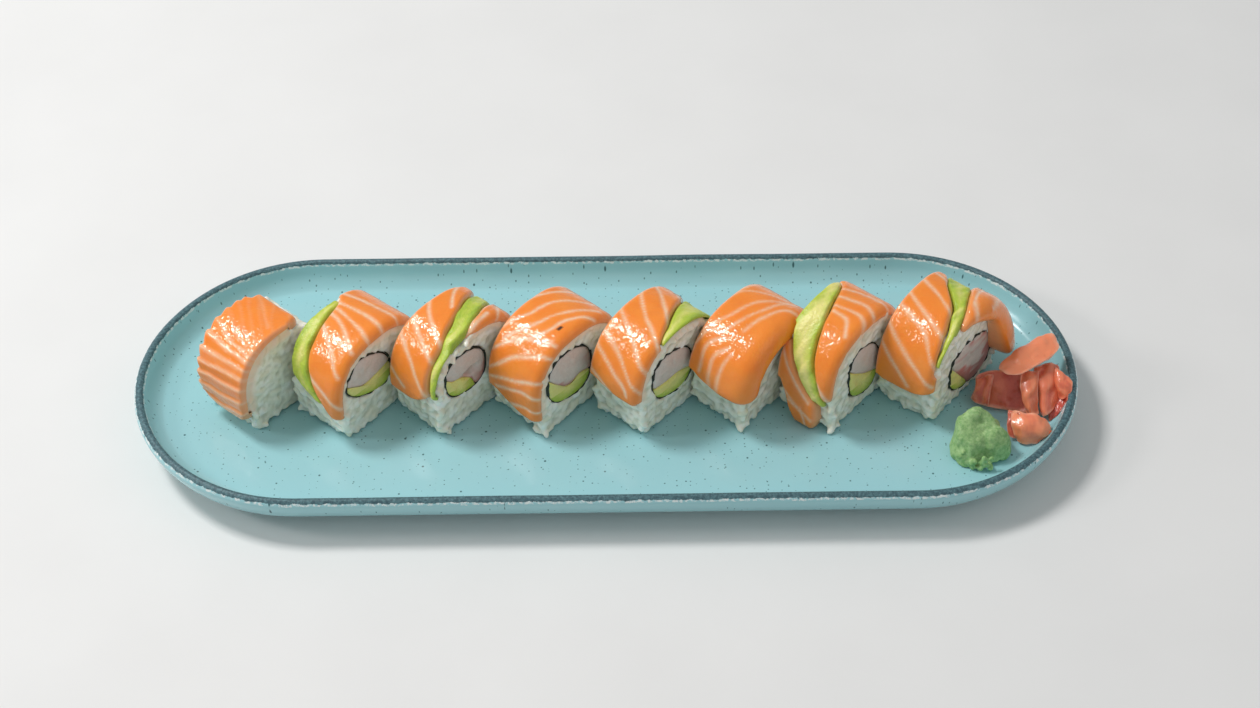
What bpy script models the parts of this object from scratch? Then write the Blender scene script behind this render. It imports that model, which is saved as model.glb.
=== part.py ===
"""A long oval plate of uramaki: eight slices of inside-out roll, pickled ginger and wasabi.

Shapes are written in millimetres and built in metres. The origin is the centre of the plate's
footprint on the surface it stands on, with X along the plate and Z up.
"""
import math
import random

import bmesh
import bpy
import numpy as np

MM = 0.001
TAU = 2 * math.pi

# The plate is two half circles joined by straight sides.
PLATE_LENGTH = 332.0
PLATE_WIDTH = 123.0
PLATE_HEIGHT = 18.0
FLOOR_HEIGHT = 8.5
FOOT_INSET = 12.0
FOOT_WIDTH = 5.0
FOOT_RECESS = 2.0
END_STEPS = 18

# Food stands a hair above the glaze, and each layer clears the one under it.
CONTACT_GAP = 0.3
LAYER_GAP = 0.4

# A slice is cut across the roll. Its outline is round on top and boxy where it was pressed flat.
SHOULDER_LEVEL = 0.42
TOP_ROUNDNESS = 2.5
BASE_ROUNDNESS = 8.0
EDGE_ROUND = 0.9
TOPPED_REACH = 40.0
STATION_STEP = 5.0
BASE_POINTS = 15
RING_STEPS = 16
RING_POWER = 2.6
NORI_WALL = 0.55
END_RICE = 3.0
FILLING_SLOPE = 0.12
FILLING_DROP = 0.15
GRAIN_BUMP = 0.55

# Each slice: the foot of its front corner on the plate, how far its cut face is turned,
# its width, thickness and height, and the nori ring's centre and half sizes in the cut face.
SLICES = {
    1: {"corner": (-121.8, -19.1), "turn": 41.0, "width": 34.0, "thick": 23.0, "height": 33.0,
        "ring": (-2.0, 16.0, 10.0, 9.0)},
    2: {"corner": (-89.6, -24.2), "turn": 39.0, "width": 38.0, "thick": 24.0, "height": 34.5,
        "ring": (-6.8, 21.6, 10.6, 8.9)},
    3: {"corner": (-57.2, -22.9), "turn": 43.0, "width": 38.0, "thick": 21.5, "height": 36.0,
        "ring": (-5.5, 21.8, 10.2, 9.0)},
    4: {"corner": (-21.7, -22.9), "turn": 43.0, "width": 38.0, "thick": 23.5, "height": 34.5,
        "ring": (-4.0, 19.2, 11.6, 9.9)},
    5: {"corner": (12.7, -24.3), "turn": 42.0, "width": 38.0, "thick": 22.0, "height": 36.0,
        "ring": (-4.0, 22.0, 11.3, 8.8)},
    6: {"corner": (47.3, -21.5), "turn": 41.0, "width": 38.0, "thick": 22.2, "height": 33.5,
        "ring": (-3.0, 17.5, 11.0, 9.5)},
    7: {"corner": (78.0, -22.9), "turn": 41.0, "width": 38.0, "thick": 22.0, "height": 36.0,
        "ring": (-1.0, 17.0, 9.8, 10.2)},
    8: {"corner": (113.5, -19.5), "turn": 40.0, "width": 38.0, "thick": 23.2, "height": 36.0,
        "ring": (3.0, 15.6, 12.6, 10.5)},
}
ROLL_ENDS = (1, 6)

# Each topping lies over the slice from one side to the other. A station is the distance along
# the outline from the crown, less than zero on the near side, then the strip's front and back
# edges measured back from the cut face, and how far it stands off the rice there.
WHOLE = 99.0
SALMON_THICK = 3.0
MIN_STEP = 1.5
THIN_EDGE = 0.82
CUT_EDGE = 0.95
TIP_SHARE = 0.55
AVOCADO_THICK = 2.4
TOPPINGS = {
    "salmon_1": (1, SALMON_THICK, [(-37, 2, 12, 0.6), (-33, 0, WHOLE, 1.2), (-12, 0, WHOLE, 1.6),
                                   (3, 0, WHOLE, 0.4), (8, 2, 21, 0)]),
    "topping_avocado_2": (2, AVOCADO_THICK, [(-33, 8, 9.2, 0), (-31, 9, 12.5, 0), (-27, 12.3, 20.5, 0),
                                             (-21, 16, 23, 0), (-15, 18, WHOLE, 0), (-8, 19.2, WHOLE, 0),
                                             (4, 22, WHOLE, 0)]),
    "salmon_2": (2, SALMON_THICK, [(-36, 0, 2.5, 0), (-33, 0, 7.6, 0), (-27, 0, 11.9, 0), (-21, 0, 15.6, 0),
                                   (-15, 0, 17.6, 0), (-8, 0, 18.8, 0), (4, 0, 21.6, 0), (8, 0, WHOLE, 0),
                                   (34, 0, WHOLE, 0)]),
    "salmon_3a": (3, SALMON_THICK, [(-35, 14, 20, 0), (-33, 7, WHOLE, 0), (-30, 3.4, WHOLE, 0),
                                    (-12, 3.6, WHOLE, 0), (-2, 8.4, WHOLE, 0), (10, 14.4, WHOLE, 0),
                                    (20, 18.6, WHOLE, 0)]),
    "topping_avocado_3": (3, AVOCADO_THICK, [(-30, 0.2, 1.6, 0), (-22, 0, 2.6, 0), (-12, 0, 3.2, 0),
                                             (-2, 2.4, 8, 0), (10, 8, 14, 0), (20, 12.6, 18.2, 0),
                                             (30, 17, 20.6, 0)]),
    "salmon_3b": (3, SALMON_THICK, [(-7, 0, 0.8, 0), (-2, 0, 2, 0), (10, 0, 7.6, 0), (20, 0, 12.2, 0),
                                    (30, 0, 16.6, 0), (34, 0, 18, 0)]),
    "salmon_4": (4, SALMON_THICK, [(-40, 0, 5, 0), (-37, 0, 13, 0), (-33, 0, WHOLE, 0), (34, 0, WHOLE, 0)]),
    "salmon_5": (5, SALMON_THICK, [(-33, 1, 6, 0), (-30, 0, 17, 0), (-28, 0, WHOLE, 0),
                                   (-9, 0, WHOLE, 0), (-4, 2.8, WHOLE, 0), (8, 8.4, WHOLE, 0),
                                   (26, 16.4, WHOLE, 0), (34, 20, WHOLE, 0)]),
    "topping_avocado_5": (5, AVOCADO_THICK, [(-8, 0, 0.8, 0), (-4, 0, 2.4, 0), (8, 0, 8, 0), (26, 0, 16, 0),
                                             (32, 2, 18, 0)]),
    "salmon_6": (6, SALMON_THICK, [(-34, 1, 7, 0.6), (-32, 0, 13, 1), (-29, 0, 19, 1), (-26, 0, WHOLE, 1),
                                   (0, 0, WHOLE, 0), (34, 0, WHOLE, 0)]),
    "salmon_7a": (7, SALMON_THICK, [(-34, 0, 2.4, 0), (-31, 0, 4.6, 0), (-28, 0, 5.6, 0), (-20, 0, 9.6, 0),
                                    (-12, 0, 11.6, 0), (5, 0, 17.6, 0), (10, 0, 19.5, 0), (16, 0, WHOLE, 0),
                                    (34, 0, WHOLE, 0)]),
    "topping_avocado_7": (7, AVOCADO_THICK, [(-37, 2.8, 4.4, 0), (-34, 3.4, 8, 0), (-31, 5, 11, 0),
                                             (-28, 6, 13, 0), (-20, 10, 18, 0.4), (-12, 12, WHOLE, 0.8),
                                             (5, 18, WHOLE, 1.4), (10, 20, WHOLE, 1)]),
    "salmon_7b": (7, SALMON_THICK, [(-17, 20, WHOLE, 0), (-20, 18.4, WHOLE, 0), (-28, 13.4, WHOLE, 0),
                                    (-31, 11.4, WHOLE, 0), (-37, 5, 19, 0.6), (-42, 4, 17, 1.4),
                                    (-47, 5, 13, 1.8)]),
    "salmon_8a": (8, SALMON_THICK, [(-37, 16, 22, 0), (-33, 7, WHOLE, 0), (-26, 0.6, WHOLE, 0),
                                    (-15, 1.5, WHOLE, 0), (-8, 3.4, WHOLE, 0), (0, 7.4, WHOLE, 0),
                                    (8, 15.4, WHOLE, 0), (16, 20.4, WHOLE, 0)]),
    "topping_avocado_8": (8, AVOCADO_THICK, [(-22, 0, 0.8, 0), (-15, 0, 1.1, 0), (-8, 0.2, 3, 0),
                                             (0, 3, 7, 0), (8, 7, 15, 0), (16, 11, 20, 0),
                                             (26, 16, WHOLE, 0)]),
    "salmon_8b": (8, SALMON_THICK, [(-6, 0, 0.8, 0), (0, 0, 2.6, 0), (8, 0, 6.6, 0), (16, 0, 10.6, 0.6),
                                    (24, 0, 14.4, 3), (31, 0, 16, 5.4), (37, 0, 16, 6.4),
                                    (42, 2, 13, 5.6)]),
}

# Ginger slices as nets of points, in millimetres, with heights above the plate's floor.
GINGER_THICK = 1.3
GINGER_ALONG = 9
GINGER_ACROSS = 7
GINGER = {
    "ginger_1": [[(136.5, -6.8, 15.6), (143.7, -5.4, 16.8), (150.7, -0.4, 17.8), (157.7, 4.2, 18.4)],
                 [(137.7, -9.4, 15.2), (146.2, -8.6, 16.2), (153.2, -4.2, 17.4), (159.1, 1.6, 17.8)],
                 [(140.7, -11.6, 14.4), (147.1, -11.6, 14.8), (153.7, -7.4, 16.2), (159.3, -0.8, 17.2)]],
    "ginger_2": [[(129.5, -11.4, 1.6), (132.3, -15.4, 1.4), (138.7, -17.4, 1.4), (144.1, -16.6, 1.6)],
                 [(129.3, -7.8, 7.4), (132.9, -11.6, 8.4), (138.7, -13.4, 8.8), (144.1, -12.8, 8.6)],
                 [(131.1, -4.4, 11.0), (134.7, -7.0, 12.4), (139.3, -8.0, 13.0), (143.9, -7.6, 12.6)],
                 [(133.5, -1.0, 9.6), (136.3, -1.8, 11.4), (139.9, -2.4, 12.2), (143.5, -2.2, 11.6)]],
    "ginger_3": [[(146.9, -1.0, 10.0), (149.9, 0.6, 11.8), (154.1, 1.0, 12.0), (159.1, -1.0, 12.0)],
                 [(146.3, -7.2, 12.4), (149.7, -6.6, 10.6), (153.7, -7.4, 13.0), (160.5, -6.0, 11.6)],
                 [(146.1, -12.8, 9.8), (149.7, -11.8, 7.0), (153.9, -13.2, 10.0), (161.1, -10.0, 11.0)],
                 [(146.1, -18.6, 3.6), (149.7, -17.4, 2.4), (153.5, -17.8, 5.6), (160.3, -13.6, 10.0)]],
    "ginger_4": [[(141.3, -21.4, 1.6), (146.1, -21.2, 1.6), (150.9, -21.2, 1.8)],
                 [(140.5, -22.8, 7.4), (145.9, -22.6, 8.8), (151.7, -22.4, 7.8)],
                 [(141.1, -26.0, 6.6), (145.9, -27.0, 7.4), (152.3, -25.0, 7.0)],
                 [(142.3, -27.8, 2.2), (146.3, -29.6, 2.0), (151.5, -27.0, 3.2)]],
    "ginger_5": [[(153.1, -24.4, 3.6), (155.9, -21.2, 4.6), (157.9, -17.8, 6.0)],
                 [(153.5, -23.0, 5.8), (155.7, -20.4, 6.8), (157.3, -17.4, 7.8)],
                 [(152.9, -21.8, 7.6), (154.7, -19.8, 8.4), (156.1, -17.6, 9.0)]],
}

# The wasabi is one lump, taller at the back left.
WASABI_CENTRE = (129.0, -32.6)
WASABI_RADII = (11.2, 9.2)
WASABI_HEIGHT = 14.5
WASABI_SIDES = 18
WASABI_RINGS = 8

COLOURS = {
    "plate": ((0.33, 0.56, 0.58), 0.25),
    "rice": ((0.80, 0.79, 0.70), 0.45),
    "nori": ((0.015, 0.022, 0.018), 0.60),
    "crab": ((0.78, 0.68, 0.66), 0.45),
    "avocado": ((0.55, 0.62, 0.16), 0.40),
    "salmon": ((0.88, 0.36, 0.12), 0.30),
    "ginger": ((0.82, 0.27, 0.17), 0.30),
    "wasabi": ((0.42, 0.60, 0.25), 0.70),
}


def clear_scene():
    for item in list(bpy.data.objects):
        bpy.data.objects.remove(item, do_unlink=True)


def material(kind):
    name = kind + " surface"
    if name in bpy.data.materials:
        return bpy.data.materials[name]
    colour, roughness = COLOURS[kind]
    made = bpy.data.materials.new(name)
    made.use_nodes = True
    shader = made.node_tree.nodes["Principled BSDF"]
    shader.inputs["Base Color"].default_value = (*colour, 1.0)
    shader.inputs["Roughness"].default_value = roughness
    shader.inputs["Metallic"].default_value = 0.0
    return made


def add_solid(name, kind, points, faces, smooth_angle=35.0):
    """Adds one closed body from points in millimetres, with its faces turned outward."""
    mesh = bpy.data.meshes.new(name)
    mesh.from_pydata([tuple(coordinate * MM for coordinate in point) for point in points], [], faces)
    shell = bmesh.new()
    shell.from_mesh(mesh)
    bmesh.ops.triangulate(shell, faces=shell.faces)
    bmesh.ops.recalc_face_normals(shell, faces=shell.faces)
    if shell.calc_volume(signed=True) < 0:
        bmesh.ops.reverse_faces(shell, faces=shell.faces)
    shell.to_mesh(mesh)
    shell.free()
    mesh.shade_smooth()
    mesh.set_sharp_from_angle(angle=math.radians(smooth_angle))
    mesh.materials.append(material(kind))
    solid = bpy.data.objects.new(name, mesh)
    bpy.context.scene.collection.objects.link(solid)
    return solid


def join_loops(start_a, start_b, count):
    """Quads between two closed loops of the same number of points."""
    return [(start_a + i, start_a + (i + 1) % count, start_b + (i + 1) % count, start_b + i)
            for i in range(count)]


def join_two_to_one(outer, inner, count):
    """Triangles between a closed loop of 2 x count points and one of count points."""
    faces = []
    for i in range(count):
        first = outer + 2 * i
        middle = first + 1
        last = outer + (2 * i + 2) % (2 * count)
        here = inner + i
        after = inner + (i + 1) % count
        faces += [(first, middle, here), (middle, after, here), (middle, last, after)]
    return faces


# The plate


def stadium(inset, height):
    """One level loop of the plate's outline, moved in by inset."""
    radius = PLATE_WIDTH / 2 - inset
    centre = PLATE_LENGTH / 2 - PLATE_WIDTH / 2
    loop = []
    for side in (1, -1):
        for step in range(END_STEPS + 1):
            angle = math.pi * (step / END_STEPS - 0.5)
            x = side * (centre + radius * math.cos(angle))
            loop.append((x, side * radius * math.sin(angle), height))
    return loop


def build_plate():
    top = PLATE_HEIGHT
    floor = FLOOR_HEIGHT
    foot_inner = FOOT_INSET + FOOT_WIDTH
    profile = [(foot_inner + 1.0, FOOT_RECESS), (foot_inner, 0.0), (FOOT_INSET, 0.0),
               (FOOT_INSET - 0.8, 1.6), (7.0, 4.6), (3.0, 8.4), (0.8, 12.0), (0.0, top - 2.8),
               (0.3, top - 1.2), (1.4, top - 0.15), (2.4, top - 0.1), (3.4, top - 1.0),
               (4.6, top - 4.6), (6.0, floor + 2.6), (8.0, floor + 0.7), (10.0, floor)]
    count = 2 * (END_STEPS + 1)
    points = []
    for inset, height in profile:
        points += stadium(inset, height)
    faces = [tuple(range(count))]
    for ring in range(len(profile) - 1):
        faces += join_loops(ring * count, (ring + 1) * count, count)
    last = (len(profile) - 1) * count
    faces.append(tuple(range(last, last + count)))
    add_solid("plate", "plate", points, faces)


# The roll's section


class Section:
    """Outline of a slice, measured from its crown, more than zero towards the far side."""

    def __init__(self, width, height):
        angle = np.linspace(0, TAU, 1440, endpoint=False) + math.pi / 2
        across, up = np.cos(angle), np.sin(angle)
        power = 2 / np.where(up > 0, TOP_ROUNDNESS, BASE_ROUNDNESS)
        middle = height * SHOULDER_LEVEL
        rise = np.where(up > 0, height - middle, middle)
        x = -width / 2 * np.sign(across) * np.abs(across) ** power
        z = middle + rise * np.sign(up) * np.abs(up) ** power
        x, z = np.append(x, x[0]), np.append(z, z[0])
        self.along = np.concatenate([[0], np.cumsum(np.hypot(np.diff(x), np.diff(z)))])
        self.length = self.along[-1]
        self.x = x
        self.z = z

    def bare(self, station):
        place = station % self.length
        return np.array([np.interp(place, self.along, self.x), np.interp(place, self.along, self.z)])

    def at(self, station, outward=0.0):
        """A point of the outline, moved off it along its normal."""
        ahead, behind = self.bare(station + 0.6), self.bare(station - 0.6)
        run = ahead - behind
        run /= np.hypot(*run)
        return self.bare(station) + outward * np.array([-run[1], run[0]])


def slice_place(number, x, back, z):
    """A slice's own point on the plate: x across the roll, back from its cut face, z up."""
    entry = SLICES[number]
    turn = math.radians(entry["turn"])
    facing = (math.cos(turn), -math.sin(turn))
    across = (math.sin(turn), math.cos(turn))
    reach = x + entry["width"] / 2
    return (entry["corner"][0] + reach * across[0] - back * facing[0],
            entry["corner"][1] + reach * across[1] - back * facing[1],
            FLOOR_HEIGHT + CONTACT_GAP + z)


def rice_stations(section):
    """Stations round the outline, 2 x RING_STEPS of them, closer together over the bare base."""
    topped = np.arange(-TOPPED_REACH, TOPPED_REACH + 0.1, STATION_STEP)
    base = np.linspace(TOPPED_REACH, section.length - TOPPED_REACH, BASE_POINTS + 2)[1:-1]
    return np.concatenate([topped, base])


def ring_outline(number, shrink, directions):
    """Points round the nori ring, in the given directions from its centre."""
    x, z, half_width, half_height = SLICES[number]["ring"]
    points = []
    for angle in directions:
        across = abs(math.cos(angle)) / (half_width - shrink)
        up = abs(math.sin(angle)) / (half_height - shrink)
        radius = (across ** RING_POWER + up ** RING_POWER) ** (-1 / RING_POWER)
        points.append((x + radius * math.cos(angle), z + radius * math.sin(angle)))
    return points


def ring_directions(number, outline):
    """Directions of every other outline point, seen from the ring's centre."""
    x, z = SLICES[number]["ring"][:2]
    return [math.atan2(point[1] - z, point[0] - x) for point in outline[::2]]


def build_slice(number):
    section = Section(SLICES[number]["width"], SLICES[number]["height"])
    thick = SLICES[number]["thick"]
    stations = rice_stations(section)
    outline = [section.at(station) for station in stations]
    directions = ring_directions(number, outline)
    blind = END_RICE if number in ROLL_ENDS else 0.0
    build_rice(number, section, stations, directions, blind)
    start = blind + (LAYER_GAP if blind else 0.0)
    build_nori(number, directions, start, thick)
    build_fillings(number, directions, start, thick)


def build_rice(number, section, stations, directions, blind):
    """The rice: its bare part is uneven with grains, and a tunnel holds the filling."""
    rng = random.Random(number)
    thick = SLICES[number]["thick"]
    count = len(stations)
    points = []
    for back, inset in ((0.0, EDGE_ROUND), (EDGE_ROUND, 0.0), (thick / 2, 0.0),
                        (thick - EDGE_ROUND, 0.0), (thick, EDGE_ROUND)):
        for station in stations:
            from_crown = min(station % section.length, -station % section.length)
            bump = rng.uniform(-GRAIN_BUMP, GRAIN_BUMP) if from_crown > TOPPED_REACH + 1 else 0.0
            x, z = section.at(station, bump - inset)
            points.append(slice_place(number, x, back, max(z, 0.0)))
    faces = []
    for row in range(4):
        faces += join_loops(row * count, (row + 1) * count, count)
    front_ring = len(points)
    for x, z in ring_outline(number, 0.0, directions):
        points.append(slice_place(number, x, blind, z))
    back_ring = len(points)
    for x, z in ring_outline(number, 0.0, directions):
        points.append(slice_place(number, x, thick, z))
    if blind:
        faces.append(tuple(range(count)))
        faces.append(tuple(range(front_ring, front_ring + RING_STEPS)))
    else:
        faces += join_two_to_one(0, front_ring, RING_STEPS)
    faces += join_two_to_one(4 * count, back_ring, RING_STEPS)
    faces += join_loops(front_ring, back_ring, RING_STEPS)
    add_solid("rice_%d" % number, "rice", points, faces)


def build_nori(number, directions, start, end):
    """The nori: a tube that lines the tunnel in the rice."""
    points = []
    for shrink in (LAYER_GAP, LAYER_GAP + NORI_WALL):
        for back in (start, end):
            for x, z in ring_outline(number, shrink, directions):
                points.append(slice_place(number, x, back, z))
    count = len(directions)
    faces = []
    for first, second in ((0, 1), (1, 3), (3, 2), (2, 0)):
        faces += join_loops(first * count, second * count, count)
    add_solid("nori_%d" % number, "nori", points, faces)


def cut_outline(outline, height, slope, keep_upper):
    """The part of a convex outline above or below a sloping line."""
    sign = 1.0 if keep_upper else -1.0
    kept = []
    for i, point in enumerate(outline):
        after = outline[(i + 1) % len(outline)]
        level = sign * (point[1] - height - slope * point[0])
        level_after = sign * (after[1] - height - slope * after[0])
        if level >= 0:
            kept.append(point)
        if level * level_after < 0:
            share = level / (level - level_after)
            kept.append((point[0] + share * (after[0] - point[0]), point[1] + share * (after[1] - point[1])))
    return kept


def build_fillings(number, directions, start, end):
    """Crab stick fills the upper part of the ring, and avocado the lower part."""
    x, z, _, half_height = SLICES[number]["ring"]
    inside = ring_outline(number, 2 * LAYER_GAP + NORI_WALL, directions)
    slope = FILLING_SLOPE
    division = z - FILLING_DROP * half_height - slope * x
    for name, shift, upper in (("crab", LAYER_GAP / 2, True), ("avocado", -LAYER_GAP / 2, False)):
        outline = cut_outline(inside, division + shift, slope, upper)
        count = len(outline)
        points = [slice_place(number, *place) for place in
                  [(px, start, pz) for px, pz in outline] + [(px, end, pz) for px, pz in outline]]
        faces = [tuple(range(count)), tuple(range(count, 2 * count))] + join_loops(0, count, count)
        add_solid("%s_%d" % (name, number), name, points, faces)


# Toppings


def topping_stations(first, last):
    """The strip's two ends, and between them the rice's own stations, so that the layers nest."""
    shared = np.arange(-2 * TOPPED_REACH, 2 * TOPPED_REACH, STATION_STEP)
    return [first] + [s for s in shared if first + MIN_STEP < s < last - MIN_STEP] + [last]


def build_topping(name, number, thickness, shape):
    """A strip that follows the slice's outline, thick in the middle and thin at its free edges."""
    section = Section(SLICES[number]["width"], SLICES[number]["height"])
    thick = SLICES[number]["thick"]
    shape = sorted(shape)
    known = [row[0] for row in shape]
    stations = topping_stations(known[0], known[-1])
    points = []
    for station in stations:
        front = np.interp(station, known, [row[1] for row in shape])
        back = np.interp(station, known, [min(row[2], thick) for row in shape])
        under = LAYER_GAP + 0.1 + np.interp(station, known, [row[3] for row in shape])
        narrow = min(1.0, 0.35 + (back - front) / 8.0)
        tip = TIP_SHARE if station in (known[0], known[-1]) else 1.0
        for place in (front, (front + back) / 2, back):
            fullness = 1.0 if front < place < back else THIN_EDGE
            if place in (0.0, thick):
                fullness = CUT_EDGE
            for outward in (under, under + thickness * narrow * tip * fullness):
                x, z = section.at(station, outward)
                points.append(slice_place(number, x, place, max(z, 0.0)))
    faces = strip_faces(len(stations), 3)
    add_solid(name, "avocado" if "avocado" in name else "salmon", points, faces)


def strip_faces(rows, columns):
    """Faces of a closed sheet whose points run row by row as inner and outer pairs."""
    faces = []

    def index(row, column, outer):
        return (row * columns + column) * 2 + outer

    for row in range(rows - 1):
        for column in range(columns - 1):
            for outer in (0, 1):
                faces.append((index(row, column, outer), index(row, column + 1, outer),
                              index(row + 1, column + 1, outer), index(row + 1, column, outer)))
        for column in (0, columns - 1):
            faces.append((index(row, column, 0), index(row, column, 1),
                          index(row + 1, column, 1), index(row + 1, column, 0)))
    for row in (0, rows - 1):
        for column in range(columns - 1):
            faces.append((index(row, column, 0), index(row, column + 1, 0),
                          index(row, column + 1, 1), index(row, column, 1)))
    return faces


# Ginger and wasabi


def smooth_through(values, share):
    """A point of the smooth curve through a list of points, at a share of its length."""
    place = share * (len(values) - 1)
    first = min(int(place), len(values) - 2)
    t = place - first
    p0 = values[max(first - 1, 0)]
    p1 = values[first]
    p2 = values[first + 1]
    p3 = values[min(first + 2, len(values) - 1)]
    return 0.5 * (2 * p1 + (p2 - p0) * t + (2 * p0 - 5 * p1 + 4 * p2 - p3) * t ** 2
                  + (3 * p1 - p0 - 3 * p2 + p3) * t ** 3)


def build_ginger(name, net):
    """A thin slice laid through its net of points, with rounded corners."""
    rows = [[np.array(point) for point in row] for row in net]
    grid = np.zeros((GINGER_ALONG, GINGER_ACROSS, 3))
    for i in range(GINGER_ALONG):
        for j in range(GINGER_ACROSS):
            along = i / (GINGER_ALONG - 1)
            across = j / (GINGER_ACROSS - 1)
            rounding = 0.14 * abs(2 * along - 1) ** 3
            share = rounding + across * (1 - 2 * rounding)
            grid[i, j] = smooth_through([smooth_through(row, share) for row in rows], along)
    normal = np.cross(np.gradient(grid, axis=0), np.gradient(grid, axis=1))
    normal /= np.linalg.norm(normal, axis=2, keepdims=True)
    points = []
    for i in range(GINGER_ALONG):
        for j in range(GINGER_ACROSS):
            for side in (-0.5, 0.5):
                x, y, z = grid[i, j] + side * GINGER_THICK * normal[i, j]
                points.append((x, y, FLOOR_HEIGHT + max(z, CONTACT_GAP)))
    add_solid(name, "ginger", points, strip_faces(GINGER_ALONG, GINGER_ACROSS))


def build_wasabi():
    """A lump with a broken surface, flat where it sits."""
    rng = random.Random(5)
    points = []
    base = FLOOR_HEIGHT + CONTACT_GAP
    for ring in range(WASABI_RINGS):
        level = ring / WASABI_RINGS
        reach = (1 - level ** 2.4) ** 0.5 * (1.0 if ring else 0.93)
        for side in range(WASABI_SIDES):
            angle = TAU * side / WASABI_SIDES
            crumb = 1 + rng.uniform(-0.07, 0.07)
            x = WASABI_CENTRE[0] + WASABI_RADII[0] * reach * crumb * math.cos(angle) - 2.0 * level
            y = WASABI_CENTRE[1] + WASABI_RADII[1] * reach * crumb * math.sin(angle) + 2.0 * level
            lean = 1 + 0.12 * math.cos(angle - 2.2)
            points.append((x, y, base + WASABI_HEIGHT * level * lean))
    faces = [tuple(range(WASABI_SIDES))]
    for ring in range(WASABI_RINGS - 1):
        faces += join_loops(ring * WASABI_SIDES, (ring + 1) * WASABI_SIDES, WASABI_SIDES)
    crown = len(points)
    points.append((WASABI_CENTRE[0] - 2.4, WASABI_CENTRE[1] + 2.4, base + WASABI_HEIGHT))
    last = (WASABI_RINGS - 1) * WASABI_SIDES
    faces += [(last + i, last + (i + 1) % WASABI_SIDES, crown) for i in range(WASABI_SIDES)]
    add_solid("wasabi", "wasabi", points, faces)


def main():
    clear_scene()
    build_plate()
    for number in SLICES:
        build_slice(number)
    for name, (number, thickness, shape) in TOPPINGS.items():
        build_topping(name, number, thickness, shape)
    for name, net in GINGER.items():
        build_ginger(name, net)
    build_wasabi()


main()
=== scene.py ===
"""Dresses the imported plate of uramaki: glazed plate, rice, fillings, toppings, ginger and wasabi.

Shapes are worked out in millimetres, in the frame's own axes, and built in metres.
"""
import math

import bpy
import numpy as np
from mathutils import Matrix, Vector, kdtree


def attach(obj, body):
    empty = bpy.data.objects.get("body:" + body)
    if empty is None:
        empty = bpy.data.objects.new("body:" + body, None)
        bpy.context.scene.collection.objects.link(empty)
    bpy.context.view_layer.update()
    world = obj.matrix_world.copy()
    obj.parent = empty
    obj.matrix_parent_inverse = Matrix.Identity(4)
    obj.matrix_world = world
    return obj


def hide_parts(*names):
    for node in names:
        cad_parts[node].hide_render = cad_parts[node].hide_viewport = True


bl_info = {
    "name": "Uramaki plate",
    "version": (1, 0, 0),
    "blender": (4, 5, 0),
    "location": "View3D > Sidebar > Uramaki",
    "description": "Adds a plate of inside-out rolls with salmon, avocado, ginger and wasabi",
    "category": "Add Mesh",
}

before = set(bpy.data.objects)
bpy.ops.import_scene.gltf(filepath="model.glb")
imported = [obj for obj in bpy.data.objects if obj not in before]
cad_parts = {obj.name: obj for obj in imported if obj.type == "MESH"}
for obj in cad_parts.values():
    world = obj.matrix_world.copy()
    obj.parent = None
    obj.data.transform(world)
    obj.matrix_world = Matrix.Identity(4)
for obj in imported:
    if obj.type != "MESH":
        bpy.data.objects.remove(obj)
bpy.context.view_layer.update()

MM = 0.001
TAU = 2 * math.pi
BODY = "root"

# The plate, as in model.glb
PLATE_LENGTH = 332.0
PLATE_WIDTH = 123.0
PLATE_HEIGHT = 18.0
FLOOR_HEIGHT = 8.5
FOOD_BASE = FLOOR_HEIGHT + 0.3
# Lowest height of the rice, a little above the plate's floor
LOWEST_GRAIN = FLOOR_HEIGHT + 0.25

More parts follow.
